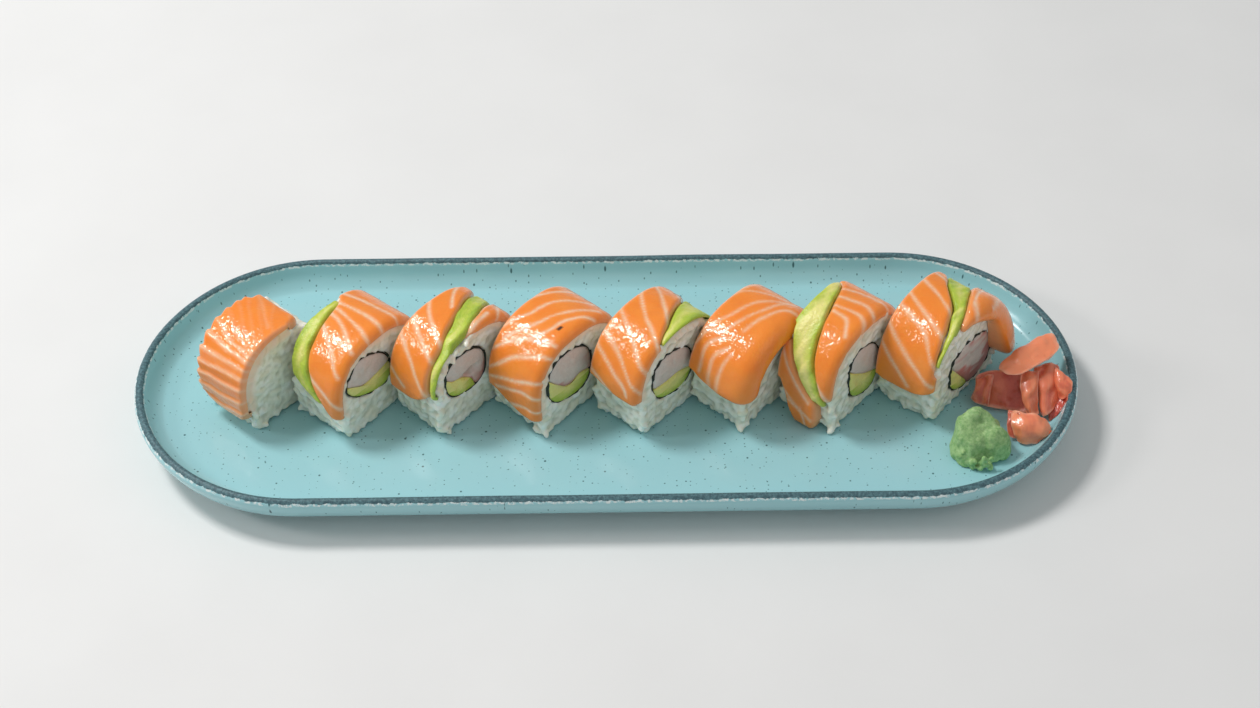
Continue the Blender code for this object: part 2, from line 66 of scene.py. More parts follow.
# Each slice's own cut: its front corner's foot, turn, width, thickness and height, and in the cut
# face the nori ring's centre, half sizes and slant and the line between crab stick and avocado.
SLICES = {
    1: {"corner": (-121.8, -19.1), "turn": 41.0, "width": 34.0, "thick": 23.0, "height": 33.0,
        "ring": (-2.0, 16.0, 10.0, 9.0, 0.0), "split": [(-14, 18), (10, 11)]},
    2: {"corner": (-89.6, -24.2), "turn": 39.0, "width": 38.0, "thick": 24.0, "height": 34.5,
        "ring": (-6.4, 22.4, 11.4, 9.1, -0.32), "split": [(-19, 25), (-9.5, 19.4), (-5.2, 19.6),
                                                          (5, 21.5)]},
    3: {"corner": (-57.2, -22.9), "turn": 43.0, "width": 38.0, "thick": 21.5, "height": 36.0,
        "ring": (-5.6, 21.8, 9.8, 9.3, -0.05),
        "split": [(-16, 25), (-11.6, 21.5), (-8.5, 21.3), (-4.9, 19), (-2.4, 16.7), (-1, 12), (0, 9)]},
    4: {"corner": (-21.7, -22.9), "turn": 43.0, "width": 38.0, "thick": 23.5, "height": 34.5,
        "ring": (-5.2, 19.9, 11.0, 11.2, -0.08),
        "split": [(-16.5, 25.5), (-12.6, 19.3), (-9.1, 16.4), (-4.9, 15), (-2, 16.6), (0.2, 17.2),
                  (6, 15.5)]},
    5: {"corner": (12.7, -24.3), "turn": 42.0, "width": 38.0, "thick": 22.0, "height": 36.0,
        "ring": (-3.3, 20.0, 10.6, 10.2, -0.13), "split": [(-15, 19), (-6.5, 18.1), (-0.5, 18.4), (8, 16)]},
    6: {"corner": (47.3, -21.5), "turn": 41.0, "width": 38.0, "thick": 22.2, "height": 33.5,
        "ring": (-3.0, 17.5, 11.0, 9.5, 0.0), "split": [(-14, 18.2), (8, 13.8)]},
    7: {"corner": (78.0, -22.9), "turn": 41.0, "width": 38.0, "thick": 22.0, "height": 36.0,
        "ring": (-1.1, 16.8, 9.0, 11.9, -0.2), "split": [(-11, 22.6), (-6.2, 18.8), (-0.8, 14.9), (8, 11)]},
    8: {"corner": (113.5, -19.5), "turn": 40.0, "width": 38.0, "thick": 23.2, "height": 36.0,
        "ring": (3.4, 13.8, 13.2, 11.0, -0.11), "split": [(-11, 21.5), (-9.4, 19.2), (1.5, 5.8), (4, 1)]},
}
ROLL_ENDS = (1, 6)
# Thickness of the rice that closes a roll's end
END_RICE = 3.4
RING_POWER = 2.6
# Least thickness of rice left round the ring
RICE_WALL = 0.9
SHOULDER_LEVEL = 0.42
TOP_ROUNDNESS = 2.5
BASE_ROUNDNESS = 8.0

# Toppings, strip by strip. A row is a distance along the slice's outline from its crown, less
# than zero on the near side, then the strip's two edges back from the cut face and its lift.
WHOLE = 99.0
SALMON = {
    "salmon_1": (1, [(-38, 2, 12, 0.6), (-33, 0, WHOLE, 1.2), (-12, 0, WHOLE, 1.6), (3, 0, WHOLE, 0.4),
                     (9, 2, 21, 0)]),
    "salmon_2": (2, [(-36.5, 0, 2.5, 0), (-33, 0, 7.6, 0), (-27, 0, 11.9, 0), (-21, 0, 15.6, 0),
                     (-15, 0, 17.6, 0), (-8, 0, 18.8, 0), (3, 0, 21.6, 0), (5.5, 0, WHOLE, 0), (34, 0,
                                                                                                WHOLE, 0)]),
    "salmon_3a": (3, [(-35, 14, 20, 0), (-33, 7, WHOLE, 0), (-30, 3.4, WHOLE, 0), (-12, 3.6, WHOLE, 0),
                      (-2, 8.4, WHOLE, 0), (10, 14.4, WHOLE, 0), (20, 18.6, WHOLE, 0)]),
    "salmon_3b": (3, [(-7, 0, 0.8, 0), (-2, 0, 2, 0), (10, 0, 7.6, 0), (20, 0, 12.2, 0), (30, 0, 16.6, 0),
                      (34, 0, 18, 0)]),
    "salmon_4": (4, [(-40, 0, 5, 0), (-37, 0, 13, 0), (-33, 0, WHOLE, 0), (34, 0, WHOLE, 0)]),
    "salmon_5": (5, [(-33, 1, 6, 0), (-30, 0, 17, 0), (-28, 0, WHOLE, 0), (-9, 0, WHOLE, 0),
                     (-4, 2.8, WHOLE, 0), (8, 8.4, WHOLE, 0), (26, 16.4, WHOLE, 0), (34, 20, WHOLE, 0)]),
    "salmon_6": (6, [(-31.5, 0, 5, 0.4), (-30, -2, 10, 0.7), (-28.5, -3, 16, 0.8), (-26, -4, WHOLE, 0.8),
                     (-12, -4.6, WHOLE, 0.4), (2, -3.4, WHOLE, 0), (14, -1.6, WHOLE, 0), (34, 0, WHOLE,
                                                                                          0)]),
    "salmon_7a": (7, [(-34, 0, 2.4, 0), (-31, 0, 4.6, 0), (-28, 0, 5.6, 0), (-20, 0, 9.6, 0),
                      (-12, 0, 11.6, 0),
                      (5, 0, 17.6, 0), (9, 0, 19.6, 0), (11.5, 0, WHOLE, 0), (34, 0, WHOLE, 0)]),
    "salmon_7b": (7, [(-47, 5, 13, 1.8), (-42, 4, 17, 1.4), (-37, 5, 19, 0.6), (-31, 11.4, WHOLE, 0),
                      (-28, 13.4, WHOLE, 0), (-20, 18.4, WHOLE, 0), (-17, 20, WHOLE, 0)]),
    "salmon_8a": (8, [(-36.5, 10, 20, 0), (-34.5, 4, WHOLE, 0), (-32, 0, WHOLE, 0), (-26, 0, WHOLE, 0),
                      (-15, 1.5, WHOLE, 0),
                      (-8, 3.4, WHOLE, 0), (0, 7.4, WHOLE, 0), (8, 15.4, WHOLE, 0), (16, 20.4, WHOLE, 0)]),
    "salmon_8b": (8, [(-6, -0.6, 0.8, 0), (0, -1, 2.6, 0), (8, -2.4, 6.6, 0), (16, -4, 10.6, 0.6),
                      (24, -5, 14.4, 2.6), (31, -4.4, 16, 4.4), (36, -3, 16, 5.2), (40.5, 0.6, 13, 4.4)]),
}
AVOCADO = {
    "topping_avocado_2": (2, [(-33, 8, 9.2, 0), (-31, 9, 12.5, 0), (-27, 12.3, 20.5, 0), (-21, 16, 23, 0),
                              (-15, 18, WHOLE, 0), (-8, 19.2, WHOLE, 0), (5, 22, WHOLE, 0)]),
    "topping_avocado_3": (3, [(-30, 0.2, 1.6, 0), (-22, 0, 2.6, 0), (-12, 0, 3.2, 0), (-2, 2.4, 8, 0),
                              (10, 8, 14, 0), (20, 12.6, 18.2, 0), (30, 17, 20.6, 0)]),
    "topping_avocado_5": (5, [(-8, 0, 0.8, 0), (-4, 0, 2.4, 0), (8, 0, 8, 0), (26, 0, 16, 0),
                              (32, 2, 18, 0)]),
    "topping_avocado_7": (7, [(-37, 2.8, 4.4, 0), (-34, 3.4, 8, 0), (-31, 5, 11, 0), (-28, 6, 13, 0),
                              (-20, 10, 18, 0.4), (-12, 12, WHOLE, 0.8), (5, 18, WHOLE, 1.4),
                              (11, 20, WHOLE, 0.8)]),
    "topping_avocado_8": (8, [(-22, 0, 0.8, 0), (-15, 0, 1.1, 0), (-8, 0.2, 3, 0), (0, 3, 7, 0),
                              (8, 7, 15, 0),
                              (16, 11, 20, 0), (26, 16, WHOLE, 0)]),
}

# Lines of fat in each slice's salmon, as places along the outline and back from the cut face.
FAT_LINES = {
    1: [[(8, 23), (4, 14), (-2, 4)]],
    2: [[(7, 24), (9, 14), (10, 0)], [(3, 23), (4, 9), (3, 0)], [(1, 21), (-1, 10), (-4, 0)],
        [(-2, 20), (-4, 12), (-10, 2)], [(-7, 18), (-12, 10), (-18, 2)], [(17, 24), (17, 12), (19, 0)],
        [(-22, 14), (-26, 6), (-30, 0)]],
    3: [[(14, 22), (8, 19), (2, 13)], [(1, 23), (-6, 15), (-11, 4)], [(-7, 22), (-12, 14), (-17, 3)],
        [(-13, 23), (-19, 13), (-29, 4)], [(-24, 22), (-30, 14)], [(8, 3), (-2, 1), (-8, 0)],
        [(14, 8), (8, 6), (0, 2)], [(22, 12), (16, 7), (10, 0)], [(30, 14), (24, 8), (20, 0)]],
    4: [[(-12, 23), (-5, 18), (4, 16), (14, 8)], [(-15, 20), (-8, 14), (2, 10), (12, 3)],
        [(-14, 14), (-7, 8), (1, 6), (8, 1)], [(-20, 24), (-16, 19), (-12, 12), (-9, 2)],
        [(-26, 23), (-20, 16), (-17, 10), (-13, 1)], [(-32, 19), (-28, 8), (-28, -1)],
        [(-29, 22), (-24, 8), (-21, -1)], [(-36, 12), (-34, 5), (-34, 0)], [(0, 24), (10, 19), (20, 12)],
        [(10, 24), (18, 20), (27, 14)]],
    5: [[(5, 22), (-3, 12), (-8, 3), (-11, 0)], [(12, 22), (4, 10), (-2, 2)],
        [(-5, 22), (-13, 8), (-19, -1)],
        [(-13, 22), (-17, 12), (-27, -1)], [(-17, 22), (-25, 8), (-29, 5)], [(20, 22), (13, 12)],
        [(28, 22), (21, 14)], [(-25, 22), (-31, 12)]],
    6: [[(-14, 23), (-4, 23), (6, 20), (13, 8)], [(-15, 22), (-6, 16), (4, 13), (13, 4)],
        [(-12, 14), (-1, 10), (11, 6)], [(-8, 8), (4, 5), (9, 1)], [(-25, 23), (-14, 20), (-12, 15)],
        [(-25, 17), (-17, 17), (-13, 12)], [(-29, 12), (-20, 13), (-15, 9)], [(-30, 9), (-22, 9), (-16, 7)],
        [(2, 22), (14, 20), (22, 12)], [(12, 22), (24, 16), (30, 8)]],
    7: [[(6, 20), (10, 11), (11, -1)], [(3, 18), (5, 6), (2, -1)], [(-1, 15), (0, 4), (-6, -1)],
        [(-3, 13), (-4, 7), (-9, 3)], [(16, 22), (18, 12), (20, 0)], [(-20, 22), (-30, 14), (-36, 8)],
        [(-38, 16), (-41, 10), (-46, 8)], [(-32, 22), (-38, 14), (-42, 6)], [(25, 22), (26, 12), (29, 0)],
        [(-26, 6), (-29, 3), (-32, 1)]],
    8: [[(4, 23), (0, 13), (-6, 3)], [(-4, 23), (-8, 14), (-13, 1)], [(-9, 23), (-14, 9), (-24, -1)],
        [(-15, 23), (-23, 10), (-29, 1)], [(-20, 24), (-28, 14), (-33, 9)], [(10, 22), (8, 15)],
        [(1, 0), (8, 4), (16, 6), (30, 6)], [(10, 0), (20, 2), (40, 2)], [(18, 11), (28, 12), (40, 11)]],
}

# How far the crab stick's red dye shows in each slice's cut
DYE = {1: 0.3, 2: 0.45, 3: 0.8, 4: 0.7, 5: 0.4, 6: 0.3, 7: 0.5, 8: 1.7}

# Where a filling is torn open in its cut face: place, width and depth
TORN_FILLINGS = {3: (-3.4, 21.6, 2.4, 5.0)}

# A fleck of pepper on the fourth slice: along its outline, and back from its cut face
FLECK = (-3.6, 5.3)

# Shavings of ginger: how deeply each is dyed, partly painted shade where it lies under others,
# and its net of points with heights above the plate's floor
GINGER = {
    "ginger_1": [
        (-0.3, [[(137.4, -5.9, 15.2), (140.5, -2.7, 16.5), (145.8, 1.1, 17.6), (151.5, 4.6, 18.2),
                 (155.8, 5.9, 18.2)],
               [(138.3, -8.3, 15.8), (142.5, -6.5, 17.0), (147.5, -3.5, 17.8), (153.1, -0.1, 18.6),
                (157.5, 3.6, 18.2)],
               [(140.1, -9.7, 14.6), (144.5, -11.0, 15.0), (149.1, -9.1, 16.2), (154.4, -5.5, 17.2),
                (158.3, -0.4, 17.6)]]),
    ],
    "ginger_2": [
        (0.6, [[(130.4, -5.3, 9.0), (134.5, -5.2, 12.5), (139.0, -5.7, 13.2), (143.8, -7.1, 12.6),
                (146.4, -7.8, 12.0)],
               [(130.4, -8.1, 6.0), (135.1, -8.4, 8.6), (140.2, -9.0, 9.2), (145.3, -10.1, 9.0),
                (147.7, -10.4, 8.0)],
               [(128.7, -9.1, 1.2), (133.3, -12.2, 1.6), (139.7, -14.6, 1.8), (145.4, -15.5, 1.6),
                (147.7, -15.9, 1.6)]]),
        (0.55, [[(129.3, -7.4, 9.5), (132.3, -7.1, 11.6), (135.4, -8.2, 12.6)],
                [(129.2, -10.3, 7.0), (131.6, -10.4, 9.0), (134.1, -11.1, 9.6)],
                [(128.4, -10.1, 2.4), (130.7, -12.9, 3.4), (133.5, -14.3, 3.4)]]),
    ],
    "ginger_3": [
        (0.15, [[(145.3, -7.8, 12.4), (148.1, -7.3, 13.2), (151.4, -6.9, 13.0)],
                [(144.8, -13.3, 9.4), (147.2, -15.0, 11.0), (150.1, -12.9, 9.2)],
                [(146.7, -17.7, 3.0), (148.2, -19.7, 3.8), (150.5, -16.9, 3.0)]]),
        (0.4, [[(149.8, -5.7, 13.0), (153.1, -3.9, 14.0), (156.2, -3.8, 14.0), (158.6, -4.3, 12.4)],
               [(150.5, -10.8, 8.4), (152.9, -12.2, 11.4), (155.6, -11.4, 11.4), (158.3, -9.1, 9.0)],
               [(151.0, -16.4, 2.4), (151.9, -20.4, 3.0), (154.1, -19.2, 3.6), (157.6, -13.1, 4.8)]]),
        (0.3, [[(155.8, -2.9, 12.6), (158.1, -6.2, 13.4), (160.2, -8.6, 12.6), (161.7, -8.8, 11.0)],
               [(156.5, -8.8, 9.6), (158.2, -11.5, 11.4), (160.3, -12.5, 11.6), (162.1, -12.4, 10.4)],
               [(157.2, -11.7, 5.0), (158.8, -14.3, 6.0), (160.5, -14.7, 7.2), (161.7, -13.8, 8.6)]]),
    ],
    "ginger_4": [
        (0.1, [[(141.4, -20.1, 6.0), (144.1, -23.1, 8.8), (148.6, -24.1, 9.2), (152.3, -24.0, 7.0)],
               [(141.1, -24.8, 5.5), (144.0, -28.4, 8.4), (148.7, -28.3, 8.2), (153.4, -26.9, 4.8)],
               [(141.6, -27.6, 3.0), (143.6, -29.9, 5.0), (148.8, -30.0, 5.0), (153.2, -27.8, 2.6)],
               [(142.6, -28.4, 0.9), (144.4, -29.9, 0.9), (148.8, -29.6, 0.9), (152.5, -27.8, 0.9)]]),
        (0.75, [[(139.3, -20.0, 7.0), (141.4, -20.8, 7.6), (143.4, -22.8, 8.4)],
                [(139.5, -23.3, 4.0), (141.2, -24.3, 5.0), (142.7, -25.7, 5.6)],
                [(140.1, -26.3, 0.9), (141.7, -27.3, 0.9), (143.2, -28.4, 0.9)]]),
    ],
    "ginger_5": [
        (1.0, [[(153.8, -13.9, 4.0), (157.6, -12.3, 5.6), (160.9, -12.5, 7.0)],
               [(154.4, -17.4, 2.6), (157.7, -17.0, 4.2), (160.4, -15.6, 5.6)],
               [(154.5, -20.2, 0.9), (157.6, -19.3, 2.0), (159.7, -17.5, 3.4)]]),
    ],
}

# The wasabi's middle, half sizes and height, its number of crumbs and its smallest shapes
WASABI_CENTRE = (129.0, -32.6)
WASABI_RADII = (11.2, 9.2)
WASABI_HEIGHT = 13.6
WASABI_CRUMBS = 18
WASABI_DETAIL = 0.42
# Hollows pinched into the lump: place, size and depth
WASABI_DENTS = [(129.5, -40.0, 14.0, 4.5, 2.2), (128.0, -36.0, 20.0, 3.5, 1.4),
                (138.5, -30.0, 18.0, 3.5, 2.0), (121.0, -38.0, 15.0, 3.5, 1.2)]

# The camera's place, from the plate's outline in the photograph
CAMERA_ELEVATION = 44.5
CAMERA_ROLL = -0.73
CAMERA_DISTANCE = 0.7814
CAMERA_TARGET = (0.00855, 0.00776, 0.018)
SENSOR_WIDTH = 36.0
LENS = 62.86


# Shared helpers


def closed_mesh(points, quads, triangles=()):
    """A smooth-shaded mesh from points in millimetres."""
    points = np.asarray(points, np.float32).reshape(-1, 3) * MM
    quads = np.asarray(quads, np.int32).reshape(-1, 4)
    triangles = np.asarray(triangles, np.int32).reshape(-1, 3)
    mesh = bpy.data.meshes.new("shape")
    mesh.vertices.add(len(points))
    mesh.vertices.foreach_set("co", points.ravel())
    mesh.loops.add(quads.size + triangles.size)
    mesh.loops.foreach_set("vertex_index", np.concatenate([quads.ravel(), triangles.ravel()]))
    sizes = np.concatenate([np.full(len(quads), 4), np.full(len(triangles), 3)])
    mesh.polygons.add(len(sizes))
    mesh.polygons.foreach_set("loop_start", np.concatenate([[0], np.cumsum(sizes)[:-1]]).astype(np.int32))
    mesh.polygons.foreach_set("use_smooth", np.ones(len(sizes), bool))
    mesh.update(calc_edges=True)
    mesh.validate()
    return mesh


def melt(mesh, voxel, passes):
    """Grows overlapping solids together into one skin, softened by some smoothing passes."""
    block = bpy.data.objects.new("block", mesh)
    bpy.context.scene.collection.objects.link(block)
    remesh = block.modifiers.new("remesh", "REMESH")
    remesh.mode = "VOXEL"
    remesh.voxel_size = voxel * MM
    remesh.use_smooth_shade = True
    smooth = block.modifiers.new("smooth", "SMOOTH")
    smooth.factor = 0.5
    smooth.iterations = passes
    bpy.context.view_layer.update()
    melted = bpy.data.meshes.new_from_object(block.evaluated_get(bpy.context.evaluated_depsgraph_get()))
    bpy.data.objects.remove(block)
    bpy.data.meshes.remove(mesh)
    melted.polygons.foreach_set("use_smooth", np.ones(len(melted.polygons), bool))
    return melted


def mesh_points(mesh):
    """The mesh's points in millimetres."""
    flat = np.empty(len(mesh.vertices) * 3, np.float32)
    mesh.vertices.foreach_get("co", flat)
    return flat.reshape(-1, 3) / MM


def linear(code):
    """An sRGB hex colour as linear red, green, blue and alpha."""
    values = [int(code[i:i + 2], 16) / 255 for i in (1, 3, 5)]
    return tuple(v / 12.92 if v <= 0.04045 else ((v + 0.055) / 1.055) ** 2.4 for v in values) + (1.0,)


def colour_property(name, code, description):
    return bpy.props.FloatVectorProperty(
        name=name, description=description, subtype="COLOR", size=4, min=0.0, max=1.0, default=linear(code))


def length_property(name, millimetres, description):
    return bpy.props.FloatProperty(
        name=name, description=description, subtype="DISTANCE", unit="LENGTH", min=0.0,
        default=millimetres * MM)


def soft_noise(points, cell, seed):
    """Smooth noise from -1 to 1 at points in millimetres, with lumps about one cell across."""
    place = np.asarray(points, float) / cell + 13.7 * seed
    base = np.floor(place).astype(np.int64)
    share = place - base
    share = share * share * (3 - 2 * share)
    total = np.zeros(place.shape[:-1])
    for corner in np.ndindex(2, 2, 2):
        key = base + corner
        mixed = (key[..., 0] * 73856093) ^ (key[..., 1] * 19349663) ^ (key[...,
                                                                           2] * 83492791) ^ (seed * 7919)
        mixed = (mixed ^ (mixed >> 13)) * 1274126177
        value = ((mixed >> 8) & 0xFFFF) / 32767.5 - 1
        weight = np.prod(np.where(np.array(corner) == 1, share, 1 - share), axis=-1)
        total += weight * value
    return total


def add_piece(name, mesh, material, nodes, attributes=None):
    """Adds a mesh that stands for CAD nodes and rides on the body."""
    mesh.name = name
    for key, values in (attributes or {}).items():
        layer = mesh.attributes.new(key, "FLOAT", "POINT")
        layer.data.foreach_set("value", np.asarray(values, np.float32).ravel())
    mesh.materials.clear()
    mesh.materials.append(material)
    piece = bpy.data.objects.new(name, mesh)
    bpy.context.scene.collection.objects.link(piece)
    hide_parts(*nodes)
    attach(piece, BODY)
    return piece


def grid_quads(rows, columns, start=0, loop=False):
    """Quads over a grid of points. A loop joins its last column to its first."""
    row = np.arange(rows - 1)[:, None] * columns + start
    column = np.arange(columns if loop else columns - 1)[None, :]
    after = (column + 1) % columns
    return np.stack([row + column, row + after, row + columns + after, row + columns + column],
                    -1).reshape(-1, 4)


def sheet_quads(rows, columns):
    """Quads of a closed sheet: its under grid, its upper grid and the rim between them."""
    count = rows * columns
    quads = [grid_quads(rows, columns), grid_quads(rows, columns, start=count)[:, ::-1]]
    index = np.arange(count).reshape(rows, columns)
    for edge in (index[0], index[:, -1], index[-1][::-1], index[::-1, 0]):
        quads.append(np.column_stack([edge[1:], edge[:-1], edge[:-1] + count, edge[1:] + count]))
    return np.vstack(quads)


def end_fans(rows, columns, middle):
    """Triangles that close both ends of a looped grid round the points numbered middle and middle + 1."""
    here = np.arange(columns)
    after = (here + 1) % columns
    last = (rows - 1) * columns
    return np.vstack([np.column_stack([after, here, np.full(columns, middle)]),
                      np.column_stack([last + here, last + after, np.full(columns, middle + 1)])])


def orient(points, quads, triangles):
    """Turns all faces over if a closed mesh would be inside out."""
    corners = [np.asarray(quads).reshape(-1, 4)[:, [0, 1, 2]],
               np.asarray(quads).reshape(-1, 4)[:, [0, 2, 3]],
               np.asarray(triangles).reshape(-1, 3)]
    faces = np.concatenate(corners).astype(int)
    a, b, c = (np.asarray(points).reshape(-1, 3)[faces[:, k]] for k in range(3))
    if np.einsum("ij,ij->i", a, np.cross(b, c)).sum() < 0:
        return np.asarray(quads).reshape(-1, 4)[:, ::-1], np.asarray(triangles).reshape(-1, 3)[:, ::-1]
    return quads, triangles


def smooth_path(values, count):
    """Points of the smooth curve through a list of points."""
    values = np.asarray(values, float)
    place = np.linspace(0, len(values) - 1, count)
    first = np.minimum(place.astype(int), len(values) - 2)
    t = (place - first).reshape([-1] + [1] * (values.ndim - 1))
    p0 = values[np.maximum(first - 1, 0)]
    p1 = values[first]
    p2 = values[first + 1]
    p3 = values[np.minimum(first + 2, len(values) - 1)]
    return 0.5 * (2 * p1 + (p2 - p0) * t + (2 * p0 - 5 * p1 + 4 * p2 - p3) * t ** 2
                  + (3 * p1 - p0 - 3 * p2 + p3) * t ** 3)


def add_node(tree, kind, settings=None, values=None, links=None):
    """Adds a node: settings are its options, values go on its inputs, links come from outputs."""
    node = tree.nodes.new(kind)
    for name, value in (settings or {}).items():
        setattr(node, name, value)
    for name, value in (values or {}).items():
        node.inputs[name].default_value = value
    for name, source in (links or {}).items():
        tree.links.new(source, node.inputs[name])
    return node


def new_material(name):
    """An empty material with its node tree, its shader and object coordinates."""
    material = bpy.data.materials.new(name)
    material.use_nodes = True
    tree = material.node_tree
    shader = tree.nodes["Principled BSDF"]
    place = add_node(tree, "ShaderNodeTexCoord").outputs["Object"]
    return material, tree, shader, place


def per_metre(millimetres):
    """A texture's scale for features that many millimetres across, in coordinates in metres."""
    return 1000.0 / millimetres


def add_noise(tree, place, millimetres, **values):
    """A noise texture with features that many millimetres across."""
    values["Scale"] = per_metre(millimetres)
    return add_node(tree, "ShaderNodeTexNoise", None, values, {"Vector": place})


def add_range(tree, value, low, high, first, last, smooth=False):
    """Maps a value between low and high to one between first and last."""
    settings = {"interpolation_type": "SMOOTHSTEP"} if smooth else None
    limits = {"From Min": low, "From Max": high, "To Min": first, "To Max": last}
    return add_node(tree, "ShaderNodeMapRange", settings, limits, {"Value": value})


def add_mix(tree, values, links):
    """A mix of two colours."""
    return add_node(tree, "ShaderNodeMix", {"data_type": "RGBA"}, values, links)


def add_bump(tree, shader, height, strength, distance):
    """Roughens the shader's surface by a height, over a distance in metres."""
    bump = add_node(tree, "ShaderNodeBump", None, {"Strength": strength, "Distance": distance},
                    {"Height": height})
    tree.links.new(bump.outputs["Normal"], shader.inputs["Normal"])


def from_points(tree, name):
    """The value that each point of the mesh holds under that name."""
    return add_node(tree, "ShaderNodeAttribute", {"attribute_name": name}).outputs["Fac"]


def set_inputs(shader, values):
    for name, value in values.items():
        shader.inputs[name].default_value = value


# The slice's own geometry


class Section:
    """Outline of a slice, measured from its crown, more than zero towards the far side."""

    def __init__(self, width, height):
        angle = np.linspace(0, TAU, 1440, endpoint=False) + math.pi / 2
        across, up = np.cos(angle), np.sin(angle)
        power = 2 / np.where(up > 0, TOP_ROUNDNESS, BASE_ROUNDNESS)
        middle = height * SHOULDER_LEVEL
        rise = np.where(up > 0, height - middle, middle)
        x = -width / 2 * np.sign(across) * np.abs(across) ** power
        z = middle + rise * np.sign(up) * np.abs(up) ** power
        x, z = np.append(x, x[0]), np.append(z, z[0])
        self.along = np.concatenate([[0], np.cumsum(np.hypot(np.diff(x), np.diff(z)))])
        self.length = self.along[-1]
        self.x = x
        self.z = z

    def bare(self, station):
        place = np.asarray(station, float) % self.length
        return np.stack([np.interp(place, self.along, self.x), np.interp(place, self.along, self.z)], -1)

    def normal(self, station):
        run = self.bare(np.asarray(station) + 0.9) - self.bare(np.asarray(station) - 0.9)
        run /= np.linalg.norm(run, axis=-1, keepdims=True)
        return np.stack([-run[..., 1], run[..., 0]], -1)

    def at(self, station, outward=0.0):
        return self.bare(station) + np.asarray(outward)[..., None] * self.normal(station)


def slice_points(number, x, back, z):
    """Places in the frame, in millimetres: x across the roll, back from its cut face, z up."""
    entry = SLICES[number]
    turn = math.radians(entry["turn"])
    x, back, z = np.broadcast_arrays(np.asarray(x, float), back, z)
    reach = x + entry["width"] / 2
    return np.stack([entry["corner"][0] + reach * math.sin(turn) - back * math.cos(turn),
                     entry["corner"][1] + reach * math.cos(turn) + back * math.sin(turn),
                     FOOD_BASE + z], -1)


def section_of(number):
    return Section(SLICES[number]["width"], SLICES[number]["height"])


def ring_reach(number, directions):
    """How far the nori ring reaches from its centre in the given directions, inside its wall of rice."""
    x, z, half_width, half_height, slant = SLICES[number]["ring"]
    directions = np.asarray(directions, float)
    across = np.abs(np.cos(directions)) / half_width
    up = np.abs(np.sin(directions) - slant * np.cos(directions)) / half_height
    free = (across ** RING_POWER + up ** RING_POWER) ** (-1 / RING_POWER)
    section = section_of(number)
    away = np.stack([section.x - x, section.z - z], -1)
    around = np.arctan2(away[:, 1], away[:, 0])
    order = np.argsort(around)
    wall = np.interp(directions, around[order], np.hypot(*away[order].T), period=TAU) - RICE_WALL
    return -np.log(np.exp(-2 * free) + np.exp(-2 * wall)) / 2


def ring_points(number, shrink, directions):
    """Points round the nori ring in the cut face, in the given directions from its centre."""
    x, z = SLICES[number]["ring"][:2]
    radius = ring_reach(number, directions) - shrink
    return np.stack([x + radius * np.cos(directions), z + radius * np.sin(directions)], -1)


def strip_edges(number, shape, stations):
    """A topping's two edges and its lift at each station, with whole-width rows clipped."""
    thick = SLICES[number]["thick"]
    known = [row[0] for row in shape]
    front = np.interp(stations, known, [row[1] for row in shape])
    back = np.interp(stations, known, [min(row[2], thick) for row in shape])
    lift = np.interp(stations, known, [row[3] for row in shape])
    return front, back, lift


# Materials


